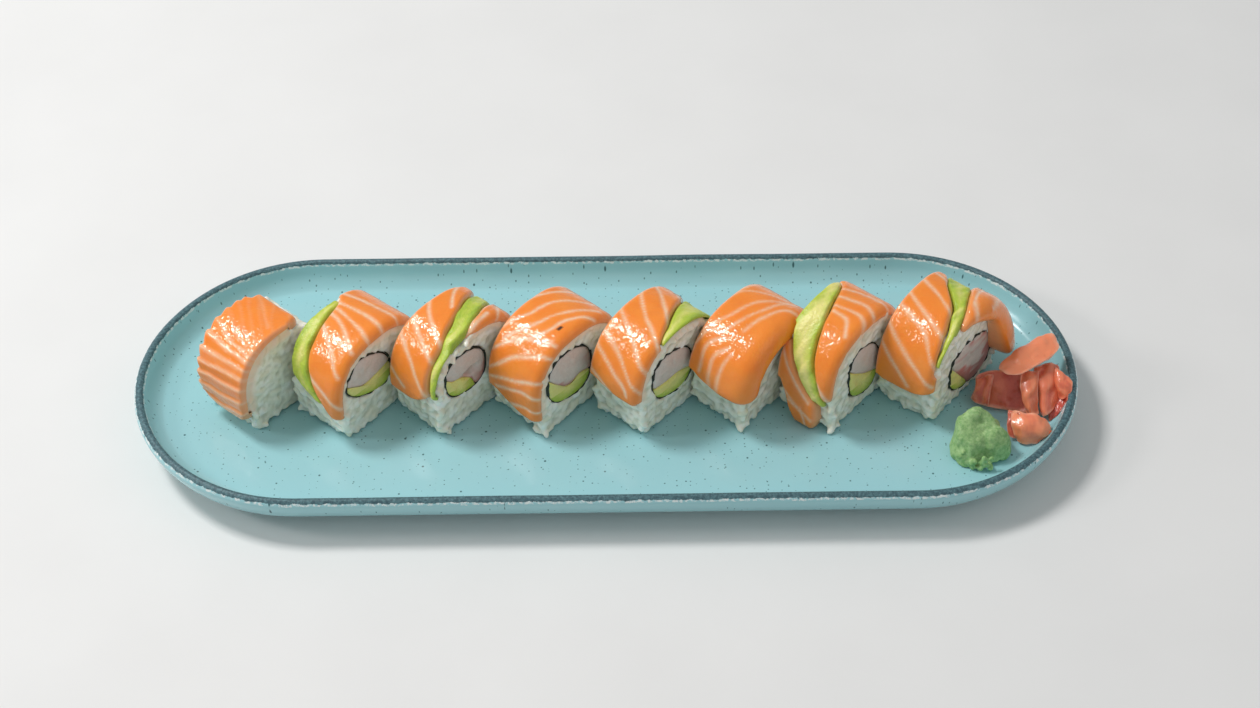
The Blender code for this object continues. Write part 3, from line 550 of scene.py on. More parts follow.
def glazed_stoneware(settings):
    """Stoneware, thrown flat and dipped in a turquoise glaze that broke dark over the rim.

    The glaze is glassy and pooled, with iron specks, and the rim is matt and mottled.
    """
    material, tree, shader, place = new_material("glazed stoneware")
    across = from_points(tree, "rim_distance")
    ragged = add_noise(tree, place, 2.4, Detail=5.0, Roughness=0.7)
    shift = add_node(tree, "ShaderNodeMath", {"operation": "MULTIPLY_ADD"}, {1: 1.9, 2: -0.95},
                     {0: ragged.outputs["Fac"]})
    moved = add_node(tree, "ShaderNodeMath", {"operation": "ADD"}, None, {0: across, 1: shift.outputs[0]})
    distance = add_node(tree, "ShaderNodeMath", {"operation": "ABSOLUTE"}, None, {0: moved.outputs[0]})
    half = settings.rim_width / MM / 2
    band = add_range(tree, distance.outputs[0], half - 0.12, half + 0.08, 1.0, 0.0, smooth=True)
    near_line = add_node(tree, "ShaderNodeMath", {"operation": "COMPARE"}, {1: half + 0.3, 2: 0.42},
                         {0: distance.outputs[0]})
    chips = add_noise(tree, place, 1.7, Detail=3.0, Roughness=0.6)
    chipped = add_range(tree, chips.outputs["Fac"], 0.45, 0.56, 0.0, 1.0)
    bare = add_node(tree, "ShaderNodeMath", {"operation": "MULTIPLY"}, None,
                    {0: near_line.outputs[0], 1: chipped.outputs[0]})
    drift = add_noise(tree, place, 55.0, Detail=3.0)
    glaze = add_mix(tree, {"A": settings.glaze, "B": settings.glaze_deep}, {"Factor": drift.outputs["Fac"]})
    mottle = add_noise(tree, place, 1.0, Detail=4.0, Roughness=0.7)
    mottled = add_range(tree, mottle.outputs["Fac"], 0.4, 0.66, 0.0, 1.0)
    rim = add_mix(tree, {"A": settings.rim_dark, "B": settings.rim_pale}, {"Factor": mottled.outputs[0]})
    colour = glaze.outputs["Result"]
    # Two sizes of speck: a cell's middle is dark where its own chance is high enough.
    for spacing, size, chance, strength in ((7.0, 0.52, 0.55, 0.95), (2.4, 0.33, 0.5, 0.75)):
        cells = add_node(tree, "ShaderNodeTexVoronoi", {"feature": "F1", "voronoi_dimensions": "2D"},
                         {"Scale": per_metre(spacing)}, {"Vector": place})
        pick = add_node(tree, "ShaderNodeSeparateColor", None, None, {"Color": cells.outputs["Color"]})
        radius = add_range(tree, pick.outputs["Red"], 1 - chance, 1.0, 0.0, size / spacing)
        outside = add_node(tree, "ShaderNodeMath", {"operation": "SUBTRACT"}, None,
                           {0: cells.outputs["Distance"], 1: radius.outputs[0]})
        inside = add_range(tree, outside.outputs[0], -0.03, 0.0, strength, 0.0)
        speckled = add_mix(tree, {"B": settings.speck}, {"Factor": inside.outputs[0], "A": colour})
        colour = speckled.outputs["Result"]
    banded = add_mix(tree, None, {"Factor": band.outputs[0], "A": colour, "B": rim.outputs["Result"]})
    finished = add_mix(tree, {"B": settings.clay}, {"Factor": bare.outputs[0],
                                                    "A": banded.outputs["Result"]})
    tree.links.new(finished.outputs["Result"], shader.inputs["Base Color"])
    rough = add_node(tree, "ShaderNodeMapRange", None, {"To Min": 0.22, "To Max": 0.5},
                     {"Value": band.outputs[0]})
    tree.links.new(rough.outputs[0], shader.inputs["Roughness"])
    ripple = add_noise(tree, place, 9.0, Detail=2.0)
    height = add_node(tree, "ShaderNodeMix", {"data_type": "FLOAT"}, None,
                      {"Factor": band.outputs[0], "A": ripple.outputs["Fac"], "B": mottle.outputs["Fac"]})
    add_bump(tree, shader, height.outputs["Result"], 0.3, 0.0004)
    shader.inputs["IOR"].default_value = 1.5
    return material


def cooked_rice(settings):
    """Short-grain rice, steamed and seasoned: milky, slightly see-through grains, moist and sticky, with
    shade painted into the crevices between grains.
    """
    material, tree, shader, place = new_material("cooked rice")
    tint = from_points(tree, "grain_tint")
    cloud = add_noise(tree, place, 2.0, Detail=3.0)
    milky = add_node(tree, "ShaderNodeMath", {"operation": "MULTIPLY_ADD"}, {1: 0.5},
                     {0: cloud.outputs["Fac"], 2: tint})
    colour = add_mix(tree, {"A": settings.rice_clear, "B": settings.rice_milky},
                     {"Factor": milky.outputs[0]})
    # Painted shade: rice in the crevices between grains is darkened towards the crevice shade colour
    hollow = from_points(tree, "hollow")
    packed = add_mix(tree, {"B": settings.rice_hollow}, {"Factor": hollow, "A": colour.outputs["Result"]})
    beside = from_points(tree, "peach")
    stained = add_mix(tree, {"B": settings.rice_stained}, {"Factor": beside, "A": packed.outputs["Result"]})
    tree.links.new(stained.outputs["Result"], shader.inputs["Base Color"])
    fine = add_noise(tree, place, 0.7, Detail=2.0)
    add_bump(tree, shader, fine.outputs["Fac"], 0.35, 0.00015)
    set_inputs(shader, {
        "Roughness": 0.26, "IOR": 1.42, "Subsurface Weight": 0.35, "Subsurface Radius": (1.0, 0.85, 0.6),
        "Subsurface Scale": 0.0022})
    return material


def toasted_nori(settings):
    """Pressed and toasted seaweed sheet: nearly black green, crinkled, with a dull sheen."""
    material, tree, shader, place = new_material("toasted nori")
    fibre = add_noise(tree, place, 1.1, Detail=4.0, Roughness=0.7)
    colour = add_mix(tree, {"A": settings.nori_dark, "B": settings.nori_pale},
                     {"Factor": fibre.outputs["Fac"]})
    tree.links.new(colour.outputs["Result"], shader.inputs["Base Color"])
    add_bump(tree, shader, fibre.outputs["Fac"], 0.6, 0.0003)
    shader.inputs["Roughness"].default_value = 0.5
    return material


def pressed_surimi(settings):
    """Crab stick: white fish paste pressed in fine strands, dyed red on its outside."""
    material, tree, shader, place = new_material("pressed surimi")
    edge = from_points(tree, "edge_share")
    strands = add_noise(tree, place, 1.3, Detail=4.0, Distortion=0.8)
    moved = add_node(tree, "ShaderNodeMath", {"operation": "MULTIPLY_ADD"}, {1: 0.22},
                     {0: strands.outputs["Fac"], 2: edge})
    dyed = add_range(tree, moved.outputs[0], 0.3, 1.05, 0.0, 0.85, smooth=True)
    flesh = add_mix(tree, {"A": settings.surimi_shade, "B": settings.surimi},
                    {"Factor": strands.outputs["Fac"]})
    colour = add_mix(tree, {"B": settings.surimi_dye}, {"Factor": dyed.outputs[0],
                                                        "A": flesh.outputs["Result"]})
    tree.links.new(colour.outputs["Result"], shader.inputs["Base Color"])
    add_bump(tree, shader, strands.outputs["Fac"], 0.5, 0.0003)
    set_inputs(shader, {
        "Roughness": 0.4, "Subsurface Weight": 0.25, "Subsurface Radius": (1.0, 0.6, 0.5),
        "Subsurface Scale": 0.0025})
    return material


def ripe_avocado(settings):
    """Ripe avocado flesh, sliced: buttery yellow inside, turning green towards the skin side."""
    material, tree, shader, place = new_material("ripe avocado")
    edge = from_points(tree, "skin_share")
    streak = add_noise(tree, place, 2.6, Detail=5.0, Roughness=0.6)
    moved = add_node(tree, "ShaderNodeMath", {"operation": "MULTIPLY_ADD"}, {1: 0.5},
                     {0: streak.outputs["Fac"], 2: edge})
    to_green = add_range(tree, moved.outputs[0], 0.35, 1.0, 0.0, 1.0)
    to_skin = add_range(tree, moved.outputs[0], 1.02, 1.3, 0.0, 0.55, smooth=True)
    flesh = add_mix(tree, {"A": settings.avocado_heart, "B": settings.avocado_green},
                    {"Factor": to_green.outputs[0]})
    colour = add_mix(tree, {"B": settings.avocado_skin}, {"Factor": to_skin.outputs[0],
                                                          "A": flesh.outputs["Result"]})
    tree.links.new(colour.outputs["Result"], shader.inputs["Base Color"])
    fine = add_noise(tree, place, 1.0, Detail=3.0)
    add_bump(tree, shader, fine.outputs["Fac"], 0.8, 0.0004)
    set_inputs(shader, {
        "Roughness": 0.36, "Subsurface Weight": 0.25, "Subsurface Radius": (0.8, 0.9, 0.3),
        "Subsurface Scale": 0.002})
    return material


def raw_salmon(settings):
    """Raw salmon, sliced across the grain: orange flakes between pale lines of fat, wet and glossy."""
    material, tree, shader, place = new_material("raw salmon")
    fat = from_points(tree, "fat")
    edge = from_points(tree, "thin_edge")
    fleck = from_points(tree, "fleck")
    cloud = add_noise(tree, place, 7.0, Detail=4.0, Roughness=0.55)
    flesh = add_mix(tree, {"A": settings.salmon_deep, "B": settings.salmon},
                    {"Factor": cloud.outputs["Fac"]})
    grain = add_noise(tree, place, 1.2, Detail=3.0, Roughness=0.6)
    broken = add_range(tree, grain.outputs["Fac"], 0.25, 0.6, 0.62, 1.0)
    streak = add_node(tree, "ShaderNodeMath", {"operation": "MULTIPLY"}, None,
                      {0: fat, 1: broken.outputs[0]})
    marbled = add_mix(tree, {"B": settings.salmon_fat}, {"Factor": streak.outputs[0],
                                                         "A": flesh.outputs["Result"]})
    # Painted light: paler at thin and cut edges, partly the thin flesh's own paler colour, partly light
    # painted onto edges that lie in shade
    edged = add_mix(tree, {"B": settings.salmon_edge}, {"Factor": edge, "A": marbled.outputs["Result"]})
    colour = add_mix(tree, {"B": settings.fleck}, {"Factor": fleck, "A": edged.outputs["Result"]})
    tree.links.new(colour.outputs["Result"], shader.inputs["Base Color"])
    add_bump(tree, shader, grain.outputs["Fac"], 0.4, 0.0004)
    wet = add_noise(tree, place, 1.6, Detail=1.2, Roughness=0.5, Distortion=0.5)
    film = add_node(tree, "ShaderNodeBump", None, {"Strength": 1.0, "Distance": 0.0003},
                    {"Height": wet.outputs["Fac"]})
    tree.links.new(film.outputs["Normal"], shader.inputs["Coat Normal"])
    set_inputs(shader, {
        "Roughness": 0.4, "Specular IOR Level": 0.15, "Coat Weight": 0.88, "Coat Roughness": 0.05,
        "Subsurface Weight": 0.2, "Subsurface Radius": (1.0, 0.4, 0.15), "Subsurface Scale": 0.003})
    return material


def pickled_ginger(settings):
    """Young ginger, shaved thin and pickled pink: limp, see-through at its edges, wet."""
    material, tree, shader, place = new_material("pickled ginger")
    # Painted light: thin edges are painted paler, partly their own paler colour and partly light showing
    # through them
    edge = from_points(tree, "thin_edge")
    fold = from_points(tree, "fold")
    vein = add_noise(tree, place, 3.0, Detail=5.0, Roughness=0.65)
    # Deeper colour from dark veins and from fold, which holds each shaving's dye, painted shade on shavings
    # lying under others and painted shade in the pleats' troughs
    depth = add_node(tree, "ShaderNodeMath", {"operation": "MULTIPLY_ADD", "use_clamp": True},
                     {1: 0.9, 2: -0.45}, {0: vein.outputs["Fac"]})
    moved = add_node(tree, "ShaderNodeMath", {"operation": "ADD", "use_clamp": True}, None,
                     {0: depth.outputs[0], 1: fold})
    flesh = add_mix(tree, {"A": settings.ginger, "B": settings.ginger_deep}, {"Factor": moved.outputs[0]})
    colour = add_mix(tree, {"B": settings.ginger_edge}, {"Factor": edge, "A": flesh.outputs["Result"]})
    tree.links.new(colour.outputs["Result"], shader.inputs["Base Color"])
    add_bump(tree, shader, vein.outputs["Fac"], 0.5, 0.0006)
    set_inputs(shader, {
        "Roughness": 0.28, "Coat Weight": 0.4, "Coat Roughness": 0.1, "Subsurface Weight": 0.2,
        "Subsurface Radius": (1.0, 0.3, 0.2), "Subsurface Scale": 0.003})
    return material


def wasabi_paste(settings):
    """Wasabi paste, pinched by hand: pale green, dry and crumbly, with a dull surface."""
    material, tree, shader, place = new_material("wasabi paste")
    crumb = add_noise(tree, place, 1.4, Detail=5.0, Roughness=0.65)
    contrast = add_range(tree, crumb.outputs["Fac"], 0.35, 0.65, 0.0, 1.0)
    colour = add_mix(tree, {"A": settings.wasabi_deep, "B": settings.wasabi},
                     {"Factor": contrast.outputs[0]})
    tree.links.new(colour.outputs["Result"], shader.inputs["Base Color"])
    add_bump(tree, shader, crumb.outputs["Fac"], 0.6, 0.0006)
    set_inputs(shader, {
        "Roughness": 0.62, "Subsurface Weight": 0.2, "Subsurface Radius": (0.7, 1.0, 0.4),
        "Subsurface Scale": 0.0015})
    return material


# The plate


# Steps round each end of the plate and along each side
PLATE_END_STEPS = 64
PLATE_SIDE_STEPS = 24


def plate_profile():
    """The plate's cut, from under its foot round the rim to its floor, and distance from the rim."""
    top = PLATE_HEIGHT
    floor = FLOOR_HEIGHT
    corners = [(18.0, 2.0), (17.0, 0.3), (16.4, 0.0), (12.6, 0.0), (12.0, 0.4), (11.2, 1.6), (7.0, 4.6),
               (3.0, 8.4), (0.9, 12.0), (0.0, top - 2.8), (0.3, top - 1.2), (1.3, top - 0.2),
               (2.3, top - 0.05), (3.3, top - 0.9), (4.6, top - 4.6), (6.0, floor + 2.6), (8.0,
                                                                                           floor + 0.7),
               (10.0, floor), (14.0, floor)]
    fine = smooth_path(corners, 109)
    fine[:, 1] = np.clip(fine[:, 1], 0.0, top)
    along = np.concatenate([[0], np.cumsum(np.linalg.norm(np.diff(fine, axis=0), axis=1))])
    middle = along[np.argmax(fine[:, 1])]
    return fine, along - middle


def stadium_ring(inset):
    """The plate's outline moved in by inset, as directions and places for one level loop."""
    radius = PLATE_WIDTH / 2 - inset
    centre = PLATE_LENGTH / 2 - PLATE_WIDTH / 2
    ring = []
    for side in (1, -1):
        angle = np.linspace(-math.pi / 2, math.pi / 2, PLATE_END_STEPS + 1)
        ring.append(np.stack([side * (centre + radius * np.cos(angle)), side * radius * np.sin(angle)], -1))
        run = np.linspace(1, -1, PLATE_SIDE_STEPS + 1)[1:-1]
        ring.append(np.stack([side * centre * run, np.full(len(run), side * radius)], -1))
    return np.concatenate(ring)


def build_plate(settings):
    profile, from_rim = plate_profile()
    loops = [np.column_stack([stadium_ring(inset), np.full(2 * (PLATE_END_STEPS + PLATE_SIDE_STEPS),
                                                           height)])
             for inset, height in profile]
    points = np.array(loops)
    rows, columns = points.shape[:2]
    # Hand-finished edges aren't quite even, and the floor stays flat under the food.
    sway = soft_noise(points, 38.0, 3) * 0.22 + soft_noise(points, 9.0, 4) * 0.07
    near_rim = np.exp(-(from_rim / 6.0) ** 2)[:, None]
    points[..., 2] += sway * near_rim
    quads = grid_quads(rows, columns, loop=True)
    distance = np.repeat(from_rim, columns)
    points = points.reshape(-1, 3)
    triangles = []
    for row, height in ((0, profile[0, 1]), (rows - 1, profile[-1, 1])):
        # The flat middle is filled with one point per crossing of the loop's long sides.
        centre_run = np.linspace(-1, 1, 81) * (PLATE_LENGTH - PLATE_WIDTH) / 2
        start = len(points)
        points = np.vstack([points, np.column_stack([centre_run, np.zeros(81), np.full(81, height)])])
        distance = np.append(distance, np.full(81, from_rim[row]))
        ring = points[row * columns:(row + 1) * columns]
        nearest = np.abs(ring[:, None, 0] - centre_run[None, :]).argmin(1)
        for i in range(columns):
            j = (i + 1) % columns
            a, b = row * columns + i, row * columns + j
            triangles.append((a, b, start + nearest[i]))
            step = int(np.sign(nearest[j] - nearest[i]))
            for k in range(nearest[i], nearest[j], step or 1):
                triangles.append((b, start + k + step, start + k))
    quads, _ = orient(points, quads, [])
    mesh = closed_mesh(points, quads, match_winding(points, np.array(triangles)))
    add_piece("glazed_plate", mesh, glazed_stoneware(settings), ["plate"],
              {"rim_distance": distance})


def match_winding(points, triangles):
    """Turns level triangles so that those on the plate's floor face up and those under it face down."""
    a, b, c = (points[triangles[:, k]] for k in range(3))
    facing = np.cross(b - a, c - a)[:, 2]
    wanted = np.where(a[:, 2] > FLOOR_HEIGHT / 2, 1.0, -1.0)
    turned = triangles.copy()
    wrong = facing * wanted < 0
    turned[wrong] = turned[wrong][:, ::-1]
    return turned[np.abs(facing) > 1e-9]


# Rice


# Points round a grain, and steps along it
GRAIN_AROUND = 8
GRAIN_ALONG = 7
# How many places are tried for the grains of a slice's side and of a cut face
SIDE_TRIES = 2600
FACE_TRIES = 1900
# Grains pushed out at the foot of each slice's front corner
STRAY_GRAINS = {1: 0, 2: 0, 3: 1, 4: 4, 5: 0, 6: 5, 7: 1, 8: 0}
# Rounds of evening out that find the crevices between grains, where shade is painted into the rice
EVENING_ROUNDS = 14
# How far the rice swells up behind the thin cut edge of a topping
RAISE = 2.1


def rice_rise(number, station, back):
    """How far the rice swells towards a topping that lies over it, which is thin at its own edges."""
    rise = np.zeros(np.broadcast(station, back).shape)
    for name, (owner, shape) in list(SALMON.items()) + list(AVOCADO.items()):
        if owner != number:
            continue
        share = 1.0 if name in SALMON else 0.55
        front, rear, _ = strip_edges(number, shape, station)
        thick = SLICES[number]["thick"]
        inside = np.minimum(station - shape[0][0], shape[-1][0] - station)
        inside = np.minimum(inside, np.where(front > 0.2, back - front, 9.0))
        inside = np.where(front < -0.2, np.minimum(inside, back - 1.5), inside)
        inside = np.minimum(inside, np.where(rear < thick - 0.2, rear - back, 9.0))
        rise = np.maximum(rise, share * np.clip((inside - 0.8) / 2.0, 0, 1))
    return rise


def front_bevel(number, station, back):
    """How far the rice is rounded off under a topping that bends over the front edge."""
    deep = np.zeros(np.shape(station))
    for name, (owner, shape) in SALMON.items():
        if owner != number or name == "salmon_1":
            continue
        front = strip_edges(number, shape, station)[0]
        there = (station > shape[0][0]) & (station < shape[-1][0]) & (front < 0.15)
        deep = np.maximum(deep, there * (1.0 + 1.3 * np.clip(-front / 3, 0, 1)))
    return deep * max(0.0, 1 - back / 3.2) ** 2


def grain_template():
    """One cooked grain of unit length, width and thickness, plump and a little bent."""
    points = [(-0.5, 0.0, 0.0)]
    for i in range(1, GRAIN_ALONG):
        share = i / GRAIN_ALONG
        x = -0.5 * math.cos(math.pi * share)
        radius = 0.5 * (1 - abs(2 * x) ** 2.3) ** 0.5
        for j in range(GRAIN_AROUND):
            angle = TAU * j / GRAIN_AROUND
            points.append((x, radius * math.cos(angle) + 0.18 * (0.25 - x * x), radius * math.sin(angle)))
    points.append((0.5, 0.0, 0.0))
    quads = grid_quads(GRAIN_ALONG - 1, GRAIN_AROUND, start=1, loop=True)
    last = len(points) - 1
    first_ring = np.arange(GRAIN_AROUND)
    after = (first_ring + 1) % GRAIN_AROUND
    start = 1 + (GRAIN_ALONG - 2) * GRAIN_AROUND
    triangles = np.vstack([np.column_stack([np.zeros(GRAIN_AROUND), 1 + after, 1 + first_ring]),
                           np.column_stack([np.full(GRAIN_AROUND, last), start + first_ring,
                                            start + after])])
    points = np.array(points)
    quads, triangles = orient(points, quads, triangles.astype(int))
    return points, quads, triangles


def scatter(rng, count, spacing, draw):
    """Draws places until count tries are used up, keeping those at least spacing apart."""
    kept = []
    held = np.zeros((0, 2))
    for _ in range(count):
        place = draw()
        if place is None:
            continue
        flat = np.array(place[:2])
        if len(held) and (np.abs(held - flat).max(1) < spacing).any():
            near = held[np.abs(held - flat).max(1) < spacing]
            if (np.hypot(*(near - flat).T) < spacing).any():
                continue
        kept.append(place)
        held = np.vstack([held, flat])
    return kept


def rice_places(number, section, rng, settings):
    """Where the grains lie that show: place, outward direction and a direction along the surface."""
    thick = SLICES[number]["thick"]
    spacing = settings.grain_spacing / MM
    half = section.length / 2
    places = []

    def on_side():
        station = rng.uniform(-half, half)
        back = rng.uniform(0.3, thick - 0.3)
        x, z = section.bare(station)
        if z < 0.9 and abs(x) < SLICES[number]["width"] / 2 - 3.5:
            return None
        if rice_rise(number, station, back) > 0.75:
            return None
        return station, back

    for station, back in scatter(rng, SIDE_TRIES, spacing, on_side):
        x, z = section.bare(station)
        normal = section.normal(station)
        low = max(0.0, 1 - z / 4.0)
        out = rng.uniform(-1.15, -0.3) + low * rng.uniform(0.0, 1.3) - 0.3 * rice_rise(number, station,
                                                                                       back)
        centre = slice_points(number, x + normal[0] * out, back, z + normal[1] * out)
        ahead = slice_points(number, x + normal[0] * (out + 1), back, z + normal[1] * (out + 1))
        deeper = slice_points(number, x + normal[0] * out, back + 1, z + normal[1] * out)
        places.append((centre, ahead - centre, deeper - centre, 0.25 + 0.4 * low))

    ring_x, ring_z = SLICES[number]["ring"][:2]
    around = np.linspace(0, TAU, 361)
    reach = ring_reach(number, around) + 0.5
    wide = SLICES[number]["width"] / 2
    high = SLICES[number]["height"]

    def on_face(back, closed):
        station = (section.along[:-1] + half) % section.length - half
        rise = (RAISE - 0.2) * rice_rise(number, station, back) - front_bevel(number, station, back)
        rise = np.append(rise, rise[0])
        outline = section.at(section.along, rise - 0.85)

        def draw():
            x = rng.uniform(-wide, wide)
            z = rng.uniform(0.4, high + 1.0)
            offset = outline - (x, z)
            nearest = np.hypot(offset[:, 0], offset[:, 1]).argmin()
            if np.dot(offset[nearest], section.normal(section.along[nearest])) < 0:
                return None
            direction = math.atan2(z - ring_z, x - ring_x) % TAU
            if math.hypot(x - ring_x, z - ring_z) < np.interp(direction, around, reach) and not closed:
                return None
            return x, z
        return draw

    for back, sign, closed in ((0.0, -1.0, number in ROLL_ENDS), (thick, 1.0, False)):
        for x, z in scatter(rng, FACE_TRIES, spacing, on_face(back, closed)):
            sunk = rng.uniform(0.75, 1.3)
            centre = slice_points(number, x, back - sign * sunk, z)
            ahead = slice_points(number, x, back + sign * (1 - sunk), z)
            level = slice_points(number, x + 1, back - sign * sunk, z)
            places.append((centre, ahead - centre, level - centre, 0.16))
    return places


def stray_grains(number, rng):
    """Grains pushed out at the foot of the front corner."""
    wide = SLICES[number]["width"] / 2
    places = []
    for _ in range(STRAY_GRAINS[number]):
        x = -wide + rng.uniform(-0.4, 4.5)
        back = rng.uniform(-0.7, 4.0)
        z = rng.uniform(0.5, 1.1)
        centre = slice_points(number, x, back, z)
        out = np.array([-0.2, -0.5, 1.0]) + rng.uniform(-0.4, 0.4, 3)
        along = slice_points(number, x + rng.uniform(-1, 1), back + rng.uniform(-1, 1), z) - centre
        places.append((centre, out, along, 0.3))
    return places


def lay_grains(places, rng, settings, template):
    """Turns the places into one set of grains, each laid roughly flat on its surface."""
    shape, quads, triangles = template
    all_points, all_quads, all_triangles, tints = [], [], [], []
    start = 0
    for centre, out, along, loose in places:
        out = out / np.linalg.norm(out)
        side = np.cross(out, along)
        side /= np.linalg.norm(side)
        along = np.cross(side, out)
        turn = rng.uniform(0, TAU)
        tilt = rng.normal(0, loose)
        length = settings.grain_length / MM * rng.uniform(0.85, 1.12)
        width = settings.grain_width / MM * rng.uniform(0.88, 1.1)
        first = along * math.cos(turn) + side * math.sin(turn)
        first = first * math.cos(tilt) + out * math.sin(tilt)
        second = np.cross(out, first)
        second /= np.linalg.norm(second)
        third = np.cross(first, second)
        axes = np.stack([first * length, second * width, third * width * 0.86])
        points = centre + shape @ axes
        points[:, 2] = np.maximum(points[:, 2], LOWEST_GRAIN)
        all_points.append(points)
        all_quads.append(quads + start)
        all_triangles.append(triangles + start)
        tints.append(rng.uniform(0.0, 0.75))
        start += len(points)
    return np.vstack(all_points), np.vstack(all_quads), np.vstack(all_triangles), tints


def rice_bed(number, section):
    """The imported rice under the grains: the slice's body, a little smaller, with the ring's tunnel."""
    thick = SLICES[number]["thick"]
    count = 150
    half = section.length / 2
    stations = np.linspace(-half, half, count, endpoint=False)
    ring_x, ring_z = SLICES[number]["ring"][:2]
    blind = END_RICE if number in ROLL_ENDS else 0.6

    def rim_at(back):
        rise = (RAISE + 0.7) * rice_rise(number, stations, back)
        rim = section.at(stations, rise - 0.7 - front_bevel(number, stations, back))
        rim[:, 1] = np.maximum(rim[:, 1], 0.35)
        return rim

    def tunnel_at(rim):
        return ring_points(number, 0.0, np.arctan2(rim[:, 1] - ring_z, rim[:, 0] - ring_x))

    levels = []
    face_steps = 9
    first = rim_at(0.6)
    for step in range(face_steps + 1):
        flat = tunnel_at(first) + (first - tunnel_at(first)) * step / face_steps
        levels.append(slice_points(number, flat[:, 0], 0.6, flat[:, 1]))
    for back in np.concatenate([[1.4, 2.2], np.linspace(3.2, thick - 0.75, 13)]):
        rim = rim_at(back)
        levels.append(slice_points(number, rim[:, 0], back, rim[:, 1]))
    for step in range(1, face_steps + 1):
        flat = rim + (tunnel_at(rim) - rim) * step / face_steps
        levels.append(slice_points(number, flat[:, 0], thick - 0.75, flat[:, 1]))
    for back in np.linspace(thick - 0.75, blind + 0.75, 6)[1:]:
        levels.append(slice_points(number, flat[:, 0], back, flat[:, 1]))
    points = np.array(levels)
    rows = len(points)
    points = points + (soft_noise(points, 2.6, number) * 0.25)[..., None] * np.array([1.0, 1.0, 0.4])
    points[..., 2] = np.maximum(points[..., 2], LOWEST_GRAIN)
    flat_points = points.reshape(-1, 3)
    quads = grid_quads(rows, count, loop=True)
    triangles = np.zeros((0, 3), int)
    if number in ROLL_ENDS:
        middle = len(flat_points)
        flat_points = np.vstack([flat_points, slice_points(number, ring_x, 0.75, ring_z),
                                 slice_points(number, ring_x, blind + 0.75, ring_z)])
        triangles = end_fans(rows, count, middle)
    else:
        here = np.arange(count)
        after = (here + 1) % count
        last = (rows - 1) * count
        quads = np.vstack([quads, np.column_stack([last + here, last + after, after, here])])
    quads, triangles = orient(flat_points, quads, triangles)
    return flat_points, quads, triangles


def near_salmon(number, points):
    """From 0 to 1 for rice that lies just inside the slice's outline under a topping."""
    entry = SLICES[number]
    turn = math.radians(entry["turn"])
    flat = points[:, :2] - entry["corner"]
    reach = flat[:, 0] * math.sin(turn) + flat[:, 1] * math.cos(turn) - entry["width"] / 2
    back = flat[:, 1] * math.sin(turn) - flat[:, 0] * math.cos(turn)
    section = section_of(number)
    middle = entry["height"] * SHOULDER_LEVEL
    around = np.arctan2(section.z - middle, section.x)
    order = np.argsort(around)
    here = np.arctan2(points[:, 2] - FOOD_BASE - middle, reach)
    wall = np.interp(here, around[order], np.hypot(section.x, section.z - middle)[order], period=TAU)
    station = np.interp(here, around[order], ((section.along + section.length / 2) % section.length
                                              - section.length / 2)[order], period=TAU)
    inside = wall - np.hypot(reach, points[:, 2] - FOOD_BASE - middle)
    return rice_rise(number, station, np.clip(back, 0, None)) * 0.8 * np.clip(1.1 - inside / 2.4, 0, 1)


def hollows(mesh):
    """How deep each point lies below the evened-out surface round it, from 0 on bumps to 1, scaled down to
    the strength of the shade painted into the crevices.
    """
    points = mesh_points(mesh)
    count = len(points)
    edges = np.empty(len(mesh.edges) * 2, np.int32)
    mesh.edges.foreach_get("vertices", edges)
    first, second = edges.reshape(-1, 2).T
    degree = np.bincount(edges, minlength=count)[:, None]
    even = points.astype(float)
    for _ in range(EVENING_ROUNDS):
        even = np.stack([np.bincount(first, even[second, k], count) + np.bincount(second, even[first, k],
                                                                                  count)
                         for k in range(3)], -1) / degree
    normals = np.empty(count * 3, np.float32)
    mesh.vertices.foreach_get("normal", normals)
    depth = ((even - points) * normals.reshape(-1, 3)).sum(1)
    return 0.4 * np.clip(depth / 0.35, 0, 1)


def build_rice(number, settings, material, template):
    rng = np.random.default_rng(100 + number)
    section = section_of(number)
    bed, bed_quads, bed_triangles = rice_bed(number, section)
    places = rice_places(number, section, rng, settings) + stray_grains(number, rng)
    grains, quads, triangles, tints = lay_grains(places, rng, settings, template)
    start = len(bed)
    mesh = closed_mesh(np.vstack([bed, grains]), np.vstack([bed_quads, quads + start]),
                       np.vstack([np.asarray(bed_triangles).reshape(-1, 3), triangles + start]))
    mesh = melt(mesh, settings.rice_detail / MM, 1)
    tree = kdtree.KDTree(len(places))
    for i, (centre, *_) in enumerate(places):
        tree.insert(centre, i)
    tree.balance()
    nearest = [tree.find(point)[1] for point in mesh_points(mesh)]
    # The rice's colour holds its grain tint, painted shade in its crevices and the peach beside the
    # toppings
    add_piece("rice_bed_%d" % number, mesh, material, ["rice_%d" % number],
              {"grain_tint": np.array(tints)[nearest], "hollow": hollows(mesh),
               "peach": near_salmon(number, mesh_points(mesh))})


# Fillings


# Thickness of the nori
NORI_WALL = 0.3


